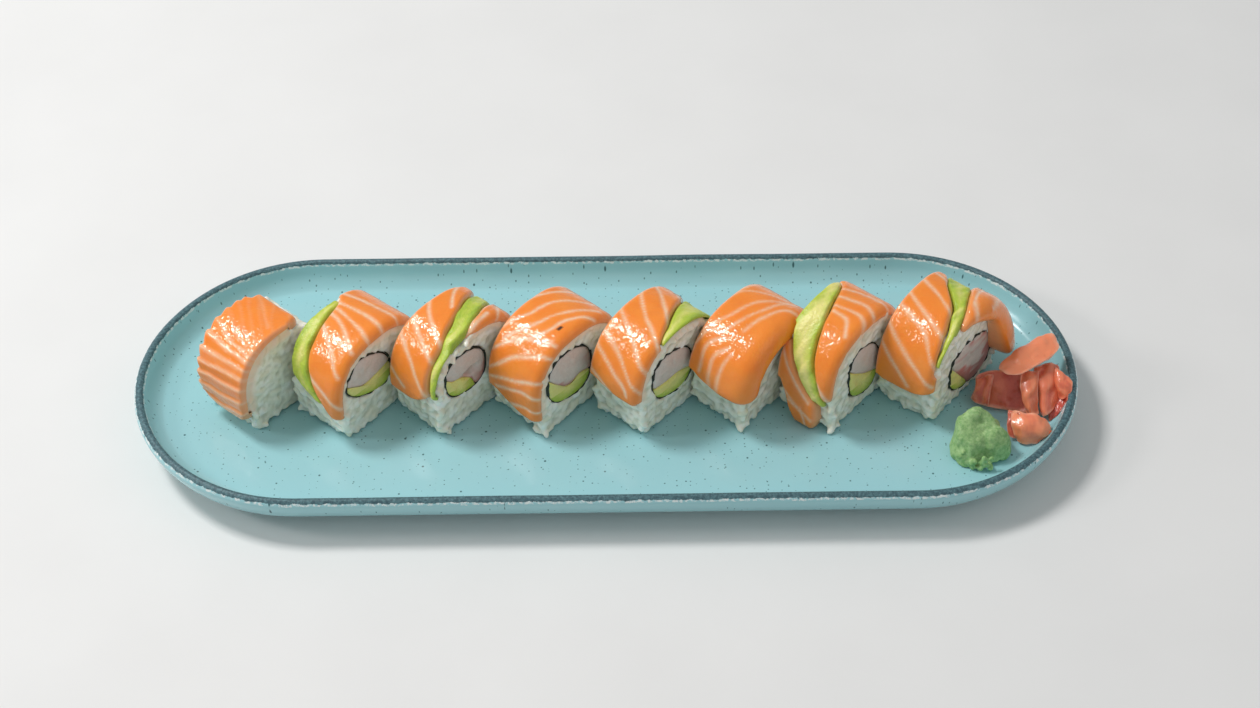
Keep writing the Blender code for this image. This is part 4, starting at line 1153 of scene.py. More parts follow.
def build_nori(number, material):
    """A sheet rolled once round and lapped over itself, with crinkled edges."""
    thick = SLICES[number]["thick"]
    start = END_RICE + 0.4 if number in ROLL_ENDS else 0.1
    turns = 1.17
    steps = 190
    share = np.linspace(0, 1, steps)
    direction = -0.7 + TAU * turns * share
    lap = np.clip((share * turns - 1.0) / (turns - 1.0) * 4, 0, 1) * 0.5
    around = np.stack([np.cos(direction) * 9, np.sin(direction) * 9, share * 0 + number], -1)
    crinkle = soft_noise(around, 6.0, 2) * 0.25 + soft_noise(around, 2.2, 3) * 0.14
    ply = NORI_WALL * (1 + 0.3 * soft_noise(around, 3.0, 9))
    inner = ring_points(number, 0.6 - lap - crinkle, direction)
    outer = ring_points(number, 0.6 - ply - lap - crinkle, direction)
    rows = []
    backs = np.linspace(start, thick - 0.05, 5)
    for back in backs:
        edge = np.concatenate([inner, outer[::-1]])
        ragged = 0.0
        if back in (backs[0], backs[-1]):
            ragged = 0.35 * soft_noise(np.column_stack([edge * 1.0, np.zeros(len(edge))]), 1.5, number + 5)
        rows.append(slice_points(number, edge[:, 0], back + ragged, edge[:, 1]))
    points = np.array(rows)
    count = points.shape[1]
    quads = grid_quads(len(rows), count, loop=True)
    here = np.arange(steps - 1)
    last = (len(rows) - 1) * count
    caps = np.column_stack([here, count - 1 - here, count - 2 - here, here + 1])
    quads = np.vstack([quads, caps, (caps + last)[:, ::-1]])
    points = points.reshape(-1, 3)
    quads, _ = orient(points, quads, [])
    add_piece("nori_sheet_%d" % number, closed_mesh(points, quads), material, ["nori_%d" % number])


def crab_dye(number, flat, centre, share):
    """How deeply the crab stick is dyed: most where it meets the avocado, and in streaks."""
    lower = np.clip(0.5 - 0.12 * (flat[:, 1] - centre[1]), 0, 1)
    place = np.column_stack([flat * (0.35, 1.0), np.full(len(flat), float(number))])
    streaks = np.clip(soft_noise(place, 1.5, 12) + 0.1, 0, 1)
    return DYE[number] * np.clip(share ** 2 * lower + 0.5 * streaks, 0, 1)


def cut_ring(number, shrink, upper, gap):
    """The part of the ring's inside above or below the line between crab stick and avocado."""
    split = np.array(SLICES[number]["split"], float)
    sign = 1.0 if upper else -1.0
    outline = ring_points(number, shrink, np.linspace(0, TAU, 240, endpoint=False))
    level = sign * (outline[:, 1] - np.interp(outline[:, 0], *split.T)) - gap
    kept = outline[level > 0]
    first = np.argmax(np.linalg.norm(kept - np.roll(kept, 1, axis=0), axis=1))
    kept = np.roll(kept, -first, axis=0)
    chord = kept[-1] + (kept[0] - kept[-1]) * np.linspace(0, 1, 60)[1:-1, None]
    blend = np.clip(8 * np.minimum(np.linspace(0, 1, 60), np.linspace(1, 0, 60)), 0, 1)[1:-1]
    chord[:, 1] += blend * (np.interp(chord[:, 0], *split.T) + sign * gap - chord[:, 1])
    loop = np.vstack([kept, chord])
    along = np.concatenate([[0], np.cumsum(np.linalg.norm(np.diff(np.vstack([loop, loop[:1]]), axis=0),
                                                          axis=1))])
    even = np.linspace(0, along[-1], 120, endpoint=False)
    closed = np.vstack([loop, loop[:1]])
    loop = np.stack([np.interp(even, along, closed[:, k]) for k in (0, 1)], -1)
    for _ in range(8):
        loop = (np.roll(loop, 1, axis=0) + 2 * loop + np.roll(loop, -1, axis=0)) / 4
    return loop


def build_filling(number, name, material, upper, attribute, bulge, shade):
    """A log of filling, bulging a little from the cut, with rounded edges and a shade for its rim."""
    thick = SLICES[number]["thick"]
    start = END_RICE + 0.4 if number in ROLL_ENDS else 0.0
    loop = cut_ring(number, 0.6, upper, 0.02)
    centre = loop.mean(0)
    rings = 12
    levels = []
    values = []
    for face, direction in ((start, -1.0), (thick, 1.0)):
        steps = np.linspace(0.04, 1, rings)
        if direction > 0:
            steps = steps[::-1]
        for share in steps:
            flat = centre + (loop - centre) * share
            flat_mm = np.column_stack([flat, np.full(len(flat), face + 3.0 * number)])
            rough = soft_noise(flat_mm, 1.6, 6) * 0.2 + soft_noise(flat_mm, 4.0, 7) * 0.3
            proud = bulge * (1 - share ** 4) - 0.15 * share ** 8 + rough * (1 - share ** 6)
            if number in TORN_FILLINGS and direction < 0:
                x, z, wide, deep = TORN_FILLINGS[number]
                torn = np.exp(-((flat[:, 0] - x) / wide) ** 2 - ((flat[:, 1] - z) / (wide * 0.55)) ** 2)
                proud = proud - deep * torn
            levels.append(slice_points(number, flat[:, 0], face + direction * proud, flat[:, 1]))
            values.append(shade(flat, centre, share))
        if direction < 0:
            for back in np.linspace(start + 0.8, thick - 0.8, 4):
                levels.append(slice_points(number, loop[:, 0], back, loop[:, 1]))
                values.append(shade(loop, centre, 1.0))
    points = np.array(levels)
    count = points.shape[1]
    quads = grid_quads(len(levels), count, loop=True)
    points = points.reshape(-1, 3)
    values = np.concatenate(values)
    middles = [points[:count].mean(0), points[-count:].mean(0)]
    triangles = end_fans(len(levels), count, len(points))
    points = np.vstack([points] + middles)
    values = np.append(values, [values[:count].mean(), values[-count:].mean()])
    quads, triangles = orient(points, quads, triangles)
    add_piece(name, closed_mesh(points, quads, triangles), material,
              ["%s_%d" % ("crab" if upper else "avocado", number)], {attribute: values})


# Toppings


# Distance between a topping's rows of points, and points in a row
STATION_STEP = 0.64
COLUMNS = 40
# Gap between the slice's outline and a topping's under face
UNDER_GAP = 0.2
# A topping's bend down over the front edge: where it starts, its radius and its run per radian.
# The first is for one that hangs over, the next for one that ends there, the last bends nowhere.
HANGING_BEND = (2.6, 2.6, 2.6)
EDGE_BEND = (3.5, 0.5, 2.75)
NO_BEND = (-99.0, 0.8, 1.0)
# How green each avocado strip is in its middle, and how much more towards its edges
STRIP_GREEN = {2: (0.3, 1.1), 3: (0.4, 0.9), 5: (0.35, 1.0), 7: (0.0, 1.1), 8: (0.4, 0.9)}


def rounded(distance, radius):
    """How high a rounded edge stands, from 0 at the edge to 1 a radius in."""
    share = np.clip(1 - distance / radius, 0, 1)
    return np.sqrt(np.maximum(1 - share ** 2, 0))


def soften(values, width):
    """A running average over the strip's stations, with the ends repeated."""
    kernel = np.hanning(width + 2)[1:-1]
    kernel /= kernel.sum()
    padded = np.pad(values, width // 2, mode="edge")
    return np.convolve(padded, kernel, mode="valid")[:len(values)]


class Strip:
    """A topping's grid: its stations, places back from the cut face and distances to its edges."""

    def __init__(self, number, shape, seed, wobble, over=0.0):
        self.number = number
        thick = SLICES[number]["thick"]
        rows = int((shape[-1][0] - shape[0][0]) / STATION_STEP) + 2
        station = np.linspace(shape[0][0], shape[-1][0], rows)
        front, back, lift = strip_edges(number, shape, station)
        free_front = np.abs(front) > 0.15
        free_back = back < thick - 0.15
        front = np.where(np.abs(front) < 0.05, -over, soften(front, 9))
        back = np.where(back > thick - 0.05, thick, soften(back, 9))
        wave = np.stack([station, np.zeros(rows), np.zeros(rows)], -1)
        front = front + np.where(free_front, wobble * soft_noise(wave, 4.5, seed), 0)
        back = back + np.where(free_back, wobble * soft_noise(wave, 4.5, seed + 1), 0)
        end = np.minimum(station - station[0], station[-1] - station)
        width = np.maximum(back - front, 0.3)
        corner = np.minimum(1.4, 0.45 * width)
        pull = corner - np.sqrt(np.maximum(corner ** 2 - np.maximum(corner - end, 0) ** 2, 0))
        front, back = front + pull, back - pull
        even = np.linspace(0, 1, COLUMNS)
        share = 0.7 * even + 0.3 * (0.5 - 0.5 * np.cos(math.pi * even))
        self.station = np.repeat(station[:, None], COLUMNS, 1)
        self.back = front[:, None] + (back - front)[:, None] * share
        self.share = np.repeat(share[None, :], rows, 0)
        self.lift = np.repeat(soften(lift, 13)[:, None], COLUMNS, 1)
        self.width = np.repeat((back - front)[:, None], COLUMNS, 1)
        self.from_front = self.back - front[:, None]
        self.from_back = back[:, None] - self.back
        self.from_end = np.repeat(end[:, None], COLUMNS, 1)
        self.free_front = np.repeat(free_front[:, None], COLUMNS, 1)
        self.free_back = np.repeat(free_back[:, None], COLUMNS, 1)

    def flat(self, z=0.0):
        """The grid's own coordinates, for patterns that follow the strip."""
        return np.stack([self.station, self.back, np.full(self.station.shape, float(z))], -1)

    def mesh(self, height, free_radius, cut_radius):
        """A closed sheet of a height, rounded at its edges and bent down where it passes the cut face.

        Its under face is hollowed so that the rice swells up behind a thin cut edge.
        """
        far = 99.0
        free = rounded(np.where(self.free_front, self.from_front, far), free_radius)
        free = free * rounded(np.where(self.free_back, self.from_back, far), free_radius)
        body = (height + self.lift) * free * rounded(self.from_end, free_radius)
        cut = rounded(np.where(self.free_front, far, self.from_front), cut_radius)
        cut = cut * rounded(np.where(self.free_back, far, self.from_back), cut_radius)
        nearest = self.back.min()
        rise = np.minimum(RAISE, 0.7 * body)
        if nearest <= -1:
            rise = rise * np.clip((self.back + 1) / 3, 0, 1)
        section = section_of(self.number)
        under = UNDER_GAP + rise
        if nearest < -1:
            start, radius, reach = HANGING_BEND
        elif nearest < -0.3:
            start, radius, reach = EDGE_BEND
        else:
            start, radius, reach = NO_BEND
        sheets = []
        for outward in (under, under + (body - rise) * cut + 0.02):
            # What reaches past the front edge bends down over it.
            bend = np.clip((start - self.back) / reach, 0, 2.8)
            past = np.maximum(bend - math.pi / 2, 0)
            bend = np.minimum(bend, math.pi / 2)
            fall = (radius + outward) * (1 - np.cos(bend)) + radius * past
            ahead = np.where(bend > 0, (radius + outward) * np.sin(bend), 0.0)
            back = np.where(bend > 0, start - ahead, self.back)
            place = section.at(self.station, outward - fall)
            x, z = place[..., 0], np.maximum(place[..., 1], 0.0)
            sheets.append(slice_points(self.number, x, back, z))
        points = np.vstack([sheet.reshape(-1, 3) for sheet in sheets])
        quads, _ = orient(points, sheet_quads(*self.station.shape), [])
        return closed_mesh(points, quads)


# Crests of the gathered slice's pleats: places along the outline at its cut face, middle and back
PLEATS = [(6, 16, 24), (-2, 8, 17), (-6, 2, 11), (-8.5, -2, 6.5), (-10, -5, 2), (-11, -7.5, -2.5),
          (-12, -10, -6.5),
          (-13.5, -12.5, -11), (-15.5, -15.5, -15.5), (-18, -18.5, -19.5), (-21.5, -22.5, -23.5), (-26, -28,
                                                                                                   -28),
          (-31, -33, -32), (-37, -40, -38)]


def gathered_pleats(strip):
    """Overlapping pleats for the gathered slice of salmon: their rise, crest lines and spacing."""
    stations = np.array(PLEATS[::-1], float)
    share = np.clip(strip.back / 24.0, 0, 1)
    lines = np.stack([smooth_path(stations[k], 61)[(share * 60).astype(int)] for k in range(len(stations))])
    moved = strip.station + 0.5 * soft_noise(strip.flat(), 5.0, 31)
    index = np.clip((lines <= moved).sum(0) - 1, 0, len(stations) - 2)
    low = np.take_along_axis(lines, index[None], 0)[0]
    high = np.take_along_axis(lines, index[None] + 1, 0)[0]
    gap = np.maximum(high - low, 0.6)
    part = np.clip((moved - low) / gap, 0, 1)
    rise = np.where(part < 0.82, (part / 0.82) ** 0.8, (1 - part) / 0.18)
    crest = np.exp(-(((part - 0.8) * gap) / 0.55) ** 2)
    return rise, crest, np.clip(gap / 4.0, 0.25, 1.0)


# Slices whose lines of fat are fainter, and by how much
FAINT_FAT = {6: 0.75, 7: 0.85, 8: 0.9}


def line_closeness(strip, lines, width):
    """From 0 to 1 as a point of the strip nears one of the drawn lines."""
    flat = np.stack([strip.station, strip.back], -1)
    flat = flat + 0.5 * np.stack([soft_noise(strip.flat(), 5.0, 21), soft_noise(strip.flat(), 5.0, 22)], -1)
    nearest = np.full(strip.station.shape, 99.0)
    for line in lines:
        for place in smooth_path(line, 34):
            nearest = np.minimum(nearest, np.hypot(flat[..., 0] - place[0], flat[..., 1] - place[1]))
    breadth = width * (1 + 0.35 * soft_noise(strip.flat(), 6.0, 23))
    return np.exp(-(nearest / breadth) ** 2)


def build_salmon(name, settings, material):
    number, shape = SALMON[name]
    seed = 40 + sum(map(ord, name)) % 23
    strip = Strip(number, shape, seed, 0.45, 0.5 if number != 1 else 0.0)
    thickness = settings.salmon_thickness / MM
    slim = np.minimum(1.0, 0.35 + strip.width / 8.0)
    fat = line_closeness(strip, FAT_LINES[number], settings.fat_width / MM) * FAINT_FAT.get(number, 1.0)
    relief = 0.12 * (1 - fat) + 0.2 * soft_noise(strip.flat(number), 6.0, seed)
    relief = relief + 0.06 * soft_noise(strip.flat(number), 1.8, seed + 2)
    if number == 1:
        rise, crest, scale = gathered_pleats(strip)
        gathered = np.clip((-5 - strip.station) / 7, 0.2, 1)
        relief = relief + 0.6 * (rise - 0.6) * scale * gathered
        strip.back = strip.back + 1.3 * (rise - 0.7) * scale * np.clip(1 - strip.from_back / 8.0, 0, 1)
        fat = np.maximum(fat * 0.3, 0.8 * crest * gathered)
    mesh = strip.mesh(thickness * slim + relief, 2.2, 1.3)
    # Painted paler at its thin and cut edges: partly its own thin flesh, partly painted light
    edge = np.clip(1 - np.minimum(strip.from_front, strip.from_back) / 1.6, 0, 1)
    edge = np.maximum(edge, np.clip(1 - strip.from_end / 2.0, 0, 1)) * 0.7
    fleck = np.zeros(strip.station.shape)
    if number == 4:
        fleck = np.hypot((strip.station - FLECK[0]) / 1.0, (strip.back - FLECK[1]) / 0.75) < 1
    add_piece(name + "_slice", mesh, material, [name],
              {"fat": np.tile(fat.ravel(), 2), "thin_edge": np.tile(edge.ravel(), 2),
               "fleck": np.tile(fleck.ravel(), 2) * 0.95})


def build_avocado(name, settings, material):
    number, shape = AVOCADO[name]
    seed = 70 + number
    wider = [(s, f - 0.7 * (f > 0.3), b + 0.7, lift + 0.25) for s, f, b, lift in shape]
    strip = Strip(number, wider, seed, 0.5)
    thickness = settings.avocado_thickness / MM
    slim = np.minimum(1.0, 0.35 + strip.width / 8.0)
    slanted = strip.flat(number) + np.array([0.0, 1.0, 0.0]) * (0.35 * strip.station)[..., None]
    grooves = soft_noise(slanted * np.array([0.28, 1.0, 1.0]), 1.7, seed)
    relief = 0.32 * grooves + 0.35 * soft_noise(strip.flat(number), 4.2, seed + 1)
    relief = relief + 0.12 * soft_noise(strip.flat(number), 1.4, seed + 2)
    mesh = strip.mesh(thickness * slim + relief, 1.5, 1.0)
    base, slope = STRIP_GREEN[number]
    green = base + slope * np.abs(strip.share - 0.5) * 1.5
    green = green - 0.3 * grooves + 0.2 * soft_noise(strip.flat(number), 5.0, seed + 3)
    add_piece(name + "_slice", mesh, material, [name],
              {"skin_share": np.tile(np.clip(green, 0, 1.1).ravel(), 2)})


# Ginger and wasabi


# How far each shaving is pressed flat, from 0 as drawn to 1
GINGER_FLATNESS = 0.35
# Rows of points along a shaving, and points across it
GINGER_ROWS = 58
GINGER_COLUMNS = 46


def plate_surface(points):
    """Height of the plate's upper face under points in the frame."""
    centre = PLATE_LENGTH / 2 - PLATE_WIDTH / 2
    across = np.hypot(np.maximum(np.abs(points[..., 0]) - centre, 0), points[..., 1])
    inset = PLATE_WIDTH / 2 - across
    return np.interp(inset, [2.3, 3.3, 4.6, 6.0, 8.0, 10.0],
                     [PLATE_HEIGHT, 17.1, 13.4, FLOOR_HEIGHT + 2.6, FLOOR_HEIGHT + 0.7, FLOOR_HEIGHT])


def ginger_petal(net, seed, thickness, start):
    """One shaving through a net of points, with pleats, ruffles, thin edges and rounded corners."""
    net = np.array(net, float)
    chord = net[:, :1] + (net[:, -1:] - net[:, :1]) * np.linspace(0, 1, net.shape[1])[None, :, None]
    net = net + GINGER_FLATNESS * (chord - net)
    middle = net.reshape(-1, 3).mean(0)
    net = middle + (net - middle) * (1.1, 1.1, 1.0)
    along = np.linspace(0, 1, GINGER_ROWS)
    across = np.linspace(0, 1, GINGER_COLUMNS)
    fine = smooth_path(net, GINGER_ROWS)
    grid = np.zeros((GINGER_ROWS, GINGER_COLUMNS, 3))
    for i in range(GINGER_ROWS):
        pull = 0.12 * abs(2 * along[i] - 1) ** 5
        full_row = smooth_path(fine[i], 400)
        place = (pull + across * (1 - 2 * pull)) * 399
        low = np.minimum(place.astype(int), 398)
        part = (place - low)[:, None]
        grid[i] = full_row[low] * (1 - part) + full_row[low + 1] * part
    normal = np.cross(np.gradient(grid, axis=0), np.gradient(grid, axis=1))
    normal /= np.linalg.norm(normal, axis=2, keepdims=True) + 1e-9
    edge = np.minimum(np.minimum(along, 1 - along)[:, None], np.minimum(across, 1 - across)[None, :]) * 9
    loose = 0.6 + 0.8 * np.clip(1 - edge, 0, 1)
    drift = np.stack(np.broadcast_arrays(along[:, None] * 5, across[None, :] * 3, float(seed)), -1)
    wander = 0.5 * soft_noise(drift, 1.6, seed + 2)
    pleat = np.sin(TAU * (1.4 * across[None, :] + wander + 0.1 * seed))
    pleat = np.sign(pleat) * np.abs(pleat) ** 0.7
    ruffle = 0.9 * soft_noise(grid, 4.2, seed) + 0.35 * soft_noise(grid, 1.9, seed + 1)
    grid = grid + normal * (ruffle * loose + 0.22 * pleat)[..., None]
    full = thickness * (0.25 + 0.75 * rounded(edge, 1.0))
    sides = [grid + normal * (side * full / 2)[..., None] for side in (-1, 1)]
    points = np.vstack([side.reshape(-1, 3) for side in sides])
    points[:, 2] = np.maximum(FLOOR_HEIGHT + points[:, 2], plate_surface(points) + 0.3)
    quads, _ = orient(points, sheet_quads(GINGER_ROWS, GINGER_COLUMNS), [])
    fibre = soft_noise(drift * np.array([0.5, 4.0, 1.0]), 0.5, seed + 4)
    # Paler along the fibres, and painted shade in the pleats' troughs
    depth = -0.2 * np.clip(fibre, 0, 1) + 0.3 * np.clip(-pleat, 0, 1)
    # The thin edges' paler colour, partly painted light showing through them
    return points, quads + start, np.tile(np.clip(1 - edge, 0, 1).ravel(), 2) * 0.55, np.tile(depth.ravel(),
                                                                                              2)


def build_ginger(name, settings, material):
    """The shavings of one piece of ginger, laid over each other."""
    points, quads, edges, folds = [], [], [], []
    start = 0
    # Each shaving's fold is its dye with painted shade for shavings under others; the petal adds its fibres
    # and painted shade in its troughs
    for k, (fold, net) in enumerate(GINGER[name]):
        seed = 90 + 5 * int(name[-1]) + k
        petal, faces, edge, depth = ginger_petal(net, seed, settings.ginger_thickness / MM, start)
        points.append(petal)
        quads.append(faces)
        edges.append(edge)
        folds.append(fold + depth)
        start += len(petal)
    add_piece(name + "_shavings", closed_mesh(np.vstack(points), np.vstack(quads)), material,
              [name],
              {"thin_edge": np.concatenate(edges), "fold": np.concatenate(folds)})


def build_wasabi(settings, material):
    """A pinched lump with a ridge at its back left, a fold down its front and crumbs at its foot."""
    rows, columns = 64, 110
    level = np.linspace(0.0, 1.0, rows)[:, None]
    angle = np.linspace(0, TAU, columns, endpoint=False)[None, :]
    reach = (1 - level ** 4.5) ** 0.5 * (0.95 + 0.05 * np.minimum(level * 8, 1)) * (1 - 0.22 * level)
    x = WASABI_CENTRE[0] + WASABI_RADII[0] * reach * np.cos(angle) - 1.5 * level
    y = WASABI_CENTRE[1] + WASABI_RADII[1] * reach * np.sin(angle) + 2.5 * level
    z = FOOD_BASE + WASABI_HEIGHT * level * (1 + 0.12 * np.cos(angle - 2.2))
    points = np.stack(np.broadcast_arrays(x, y, z), -1)
    middle = np.array([WASABI_CENTRE[0], WASABI_CENTRE[1], FOOD_BASE + 4.0])
    outward = points - middle
    outward /= np.linalg.norm(outward, axis=-1, keepdims=True)
    crumb = 1.3 * soft_noise(points, 7.0, 51) + 0.75 * np.abs(soft_noise(points, 3.4, 52))
    crumb = crumb + 0.3 * soft_noise(points, 1.5, 53)
    crumb = crumb + 0.9 * soft_noise(outward * (9.0, 9.0, 2.0), 3.2, 54)
    for x, y, z, size, deep in WASABI_DENTS:
        crumb = crumb - deep * np.exp(-(((points - (x, y, z)) / size) ** 2).sum(-1))
    points = points + outward * crumb[..., None]
    points[..., 2] = np.maximum(points[..., 2], FOOD_BASE)
    flat = points.reshape(-1, 3)
    quads = grid_quads(rows, columns, loop=True)
    triangles = end_fans(rows, columns, len(flat))
    flat = np.vstack([flat, flat[:columns].mean(0), flat[-columns:].mean(0)])
    quads, triangles = orient(flat, quads, triangles)
    rng = np.random.default_rng(7)
    shape, crumb_quads, crumb_triangles = grain_template()
    all_points, all_quads, all_triangles = [flat], [quads], [triangles]
    start = len(flat)
    for _ in range(WASABI_CRUMBS):
        turn = rng.normal(-1.6, 0.4)
        rise = rng.uniform(0.0, 0.45) ** 1.3
        spot = np.array([WASABI_CENTRE[0] + 0.98 * WASABI_RADII[0] * math.cos(turn) * (1 - 0.5 * rise ** 2),
                         WASABI_CENTRE[1] + 0.98 * WASABI_RADII[1] * math.sin(turn) * (1 - 0.5 * rise ** 2),
                         FOOD_BASE + 0.7 + WASABI_HEIGHT * rise])
        size = rng.uniform(1.2, 2.9) * rng.uniform(0.6, 1.2, 3)
        bead = spot + shape * size
        bead[:, 2] = np.maximum(bead[:, 2], FOOD_BASE)
        all_points.append(bead)
        all_quads.append(crumb_quads + start)
        all_triangles.append(crumb_triangles + start)
        start += len(bead)
    mesh = closed_mesh(np.vstack(all_points), np.vstack(all_quads), np.vstack(all_triangles))
    add_piece("wasabi_lump", melt(mesh, WASABI_DETAIL, 1), material, ["wasabi"])


# The stage


def build_stage(settings):
    mesh = bpy.data.meshes.new("table_top")
    half = 1.6
    mesh.from_pydata([(-half, -half, 0), (half, -half, 0), (half, half, 0), (-half, half, 0)], [],
                     [(0, 1, 2, 3)])
    table = bpy.data.objects.new("table_top", mesh)
    table.location = (0, 0, -0.0001)
    bpy.context.scene.collection.objects.link(table)
    material, tree, shader, place = new_material("pale plaster")
    cloud = add_node(tree, "ShaderNodeTexNoise", None, {"Scale": per_metre(60.0), "Detail": 6.0},
                     {"Vector": place})
    colour = add_node(tree, "ShaderNodeMix", {"data_type": "RGBA"},
                      {"A": settings.table, "B": settings.table_shade}, {"Factor": cloud.outputs["Fac"]})
    tree.links.new(colour.outputs["Result"], shader.inputs["Base Color"])
    shader.inputs["Roughness"].default_value = 0.8
    mesh.materials.append(material)

    world = bpy.data.worlds.new("soft room")
    world.use_nodes = True
    world.node_tree.nodes["Background"].inputs["Color"].default_value = settings.room
    world.node_tree.nodes["Background"].inputs["Strength"].default_value = settings.room_strength
    bpy.context.scene.world = world

    for name, place, size, power in (
            ("window", (-0.68, 0.26, 1.2), 0.3, settings.window_power),
            ("side_window", (-1.15, -0.1, 0.8), 0.24, settings.side_power),
            ("fill", (0.9, -0.5, 0.9), 1.0, settings.fill_power)):
        light = bpy.data.lights.new(name, "AREA")
        light.shape = "SQUARE"
        light.size = size
        light.energy = power
        lamp = bpy.data.objects.new(name, light)
        aim = Vector((0.0, 0.0, 0.02)) - Vector(place)
        lamp.matrix_world = Matrix.Translation(place) @ aim.to_track_quat("-Z", "Y").to_matrix().to_4x4()
        bpy.context.scene.collection.objects.link(lamp)
    bpy.context.scene.view_settings.view_transform = "Standard"


def build_camera():
    """The camera looks along the plate's width, from the photograph's height, with a slight roll."""
    elevation = math.radians(CAMERA_ELEVATION)
    roll = math.radians(CAMERA_ROLL)
    ahead = Vector((0, math.cos(elevation), -math.sin(elevation)))
    level = Vector((1, 0, 0))
    rise = level.cross(ahead)
    right = level * math.cos(roll) + rise * math.sin(roll)
    up = rise * math.cos(roll) - level * math.sin(roll)
    data = bpy.data.cameras.new("camera")
    data.sensor_width = SENSOR_WIDTH
    data.lens = LENS
    data.clip_start = 0.01
    camera = bpy.data.objects.new("camera", data)
    place = Matrix((right, up, -ahead)).transposed().to_4x4()
    place.translation = Vector(CAMERA_TARGET) - ahead * CAMERA_DISTANCE
    camera.matrix_world = place
    bpy.context.scene.collection.objects.link(camera)
    bpy.context.scene.camera = camera


# Settings


class PlateSettings(bpy.types.PropertyGroup):
    """Colours of the plate's glaze, its rim and the clay that shows where the glaze broke."""

    glaze: colour_property("Glaze", "#A1D1D6", "Turquoise glaze where it is thin")
    glaze_deep: colour_property("Deep glaze", "#96C8CE", "Turquoise glaze where it is thick")
    speck: colour_property("Specks", "#3E6468", "Iron specks in the glaze")
    rim_dark: colour_property("Dark rim", "#34525A", "Darker patches of the rim")
    rim_pale: colour_property("Pale rim", "#5C8288", "Paler patches of the rim")
    clay: colour_property("Clay", "#DCE6E4", "Chipped edge of the rim")
    rim_width: length_property("Rim width", 3.6, "Width of the dark band round the rim")


class RiceSettings(bpy.types.PropertyGroup):
    """Size and colour of the cooked grains."""

    grain_length: length_property("Grain length", 4.9, "Length of a cooked grain")
    grain_width: length_property("Grain width", 2.6, "Width of a cooked grain")
    grain_spacing: length_property("Grain spacing", 1.8, "Least distance between the middles of two grains")
    rice_detail: length_property("Rice detail", 0.6, "Size of the smallest shapes in the rice")
    rice_clear: colour_property("Clear rice", "#E2DFC6", "Rice where it is glassy")
    rice_milky: colour_property("Milky rice", "#FFFEF2", "Rice where it is milky")
    rice_stained: colour_property("Stained rice", "#F6D8BC", "Rice that the salmon's juice stained")
    # Painted shade that darkens the crevices between grains
    rice_hollow: colour_property("Hollow rice", "#8E8E68", "Rice in the crevices between its grains")


class FillingSettings(bpy.types.PropertyGroup):
    """Colours of the nori, the crab stick and the avocado inside the rolls."""

    nori_dark: colour_property("Dark nori", "#12160F", "Nori, darker fibres")
    nori_pale: colour_property("Pale nori", "#2A3222", "Nori, paler fibres")
    surimi: colour_property("Crab stick", "#E6DAD0", "Crab stick, white part")
    surimi_shade: colour_property("Crab stick shade", "#C8B9B0", "Crab stick, between its strands")
    surimi_dye: colour_property("Crab stick dye", "#C4685F", "Crab stick, dyed outside")
    avocado_heart: colour_property("Avocado heart", "#ECE48A", "Avocado near the stone")
    avocado_green: colour_property("Avocado green", "#BACC48", "Avocado near the skin")
    avocado_skin: colour_property("Avocado skin side", "#8DB036", "Avocado just under the skin")


class ToppingSettings(bpy.types.PropertyGroup):
    """Thickness of the toppings, and the salmon's colours."""

    salmon_thickness: length_property("Salmon thickness", 3.0, "Thickness of the salmon")
    fat_width: length_property("Fat line width", 0.58, "Half width of a line of fat")
    avocado_thickness: length_property("Avocado thickness", 2.2, "Thickness of the avocado strips")
    salmon: colour_property("Salmon", "#FF9838", "Salmon's flesh")
    salmon_deep: colour_property("Deep salmon", "#F87E20", "Salmon's flesh where it is deeper")
    salmon_fat: colour_property("Salmon fat", "#FCD5B4", "Lines of fat")
    # Paler salmon at thin and cut edges, partly painted light
    salmon_edge: colour_property("Salmon edge", "#F8B58A", "Salmon where it is thin")
    fleck: colour_property("Pepper fleck", "#1E1A16", "Fleck of pepper")


class GarnishSettings(bpy.types.PropertyGroup):
    """Thickness of the ginger, and the garnish colours."""

    ginger_thickness: length_property("Ginger thickness", 0.75, "Thickness of a shaving")
    ginger: colour_property("Ginger", "#FF9468", "Pickled ginger")
    # Deeper dyed ginger, also used as painted shade in the pleats' troughs and on shavings lying under
    # others
    ginger_deep: colour_property("Deep ginger", "#CC5240", "Pickled ginger where it is folded")
    # Paler colour at thin edges, partly painted light showing through them
    ginger_edge: colour_property("Ginger edge", "#FFC2A8", "Pickled ginger at its thin edges")
    wasabi: colour_property("Wasabi", "#A9C88A", "Wasabi paste")
    wasabi_deep: colour_property("Deep wasabi", "#76A260", "Wasabi paste in its hollows")


class StageSettings(bpy.types.PropertyGroup):
    """The table, the room and the lights."""

    table: colour_property("Table", "#E9E8E6", "Table top")
    table_shade: colour_property("Table shade", "#E0DFDD", "Table top, darker patches")
    room: colour_property("Room", "#F2F5F7", "Light from all round")
    room_strength: bpy.props.FloatProperty(
        name="Room strength", description="Strength of the light from all round", default=0.42, min=0.0)
    window_power: bpy.props.FloatProperty(
        name="Window power", description="Power of the main light", subtype="POWER", default=11.2, min=0.0)
    side_power: bpy.props.FloatProperty(
        name="Side power", description="Power of the low light that draws the wet highlights",
        subtype="POWER", default=3.4, min=0.0)
    fill_power: bpy.props.FloatProperty(
        name="Fill power", description="Power of the light from the front", subtype="POWER",
        default=1.2, min=0.0)


# Operators


class URAMAKI_OT_stage(bpy.types.Operator):
    """Add the table, the lights and the camera"""

    bl_idname = "uramaki.stage"
    bl_label = "Add stage"

    def execute(self, context):
        build_stage(context.scene.uramaki_stage)
        build_camera()
        return {"FINISHED"}


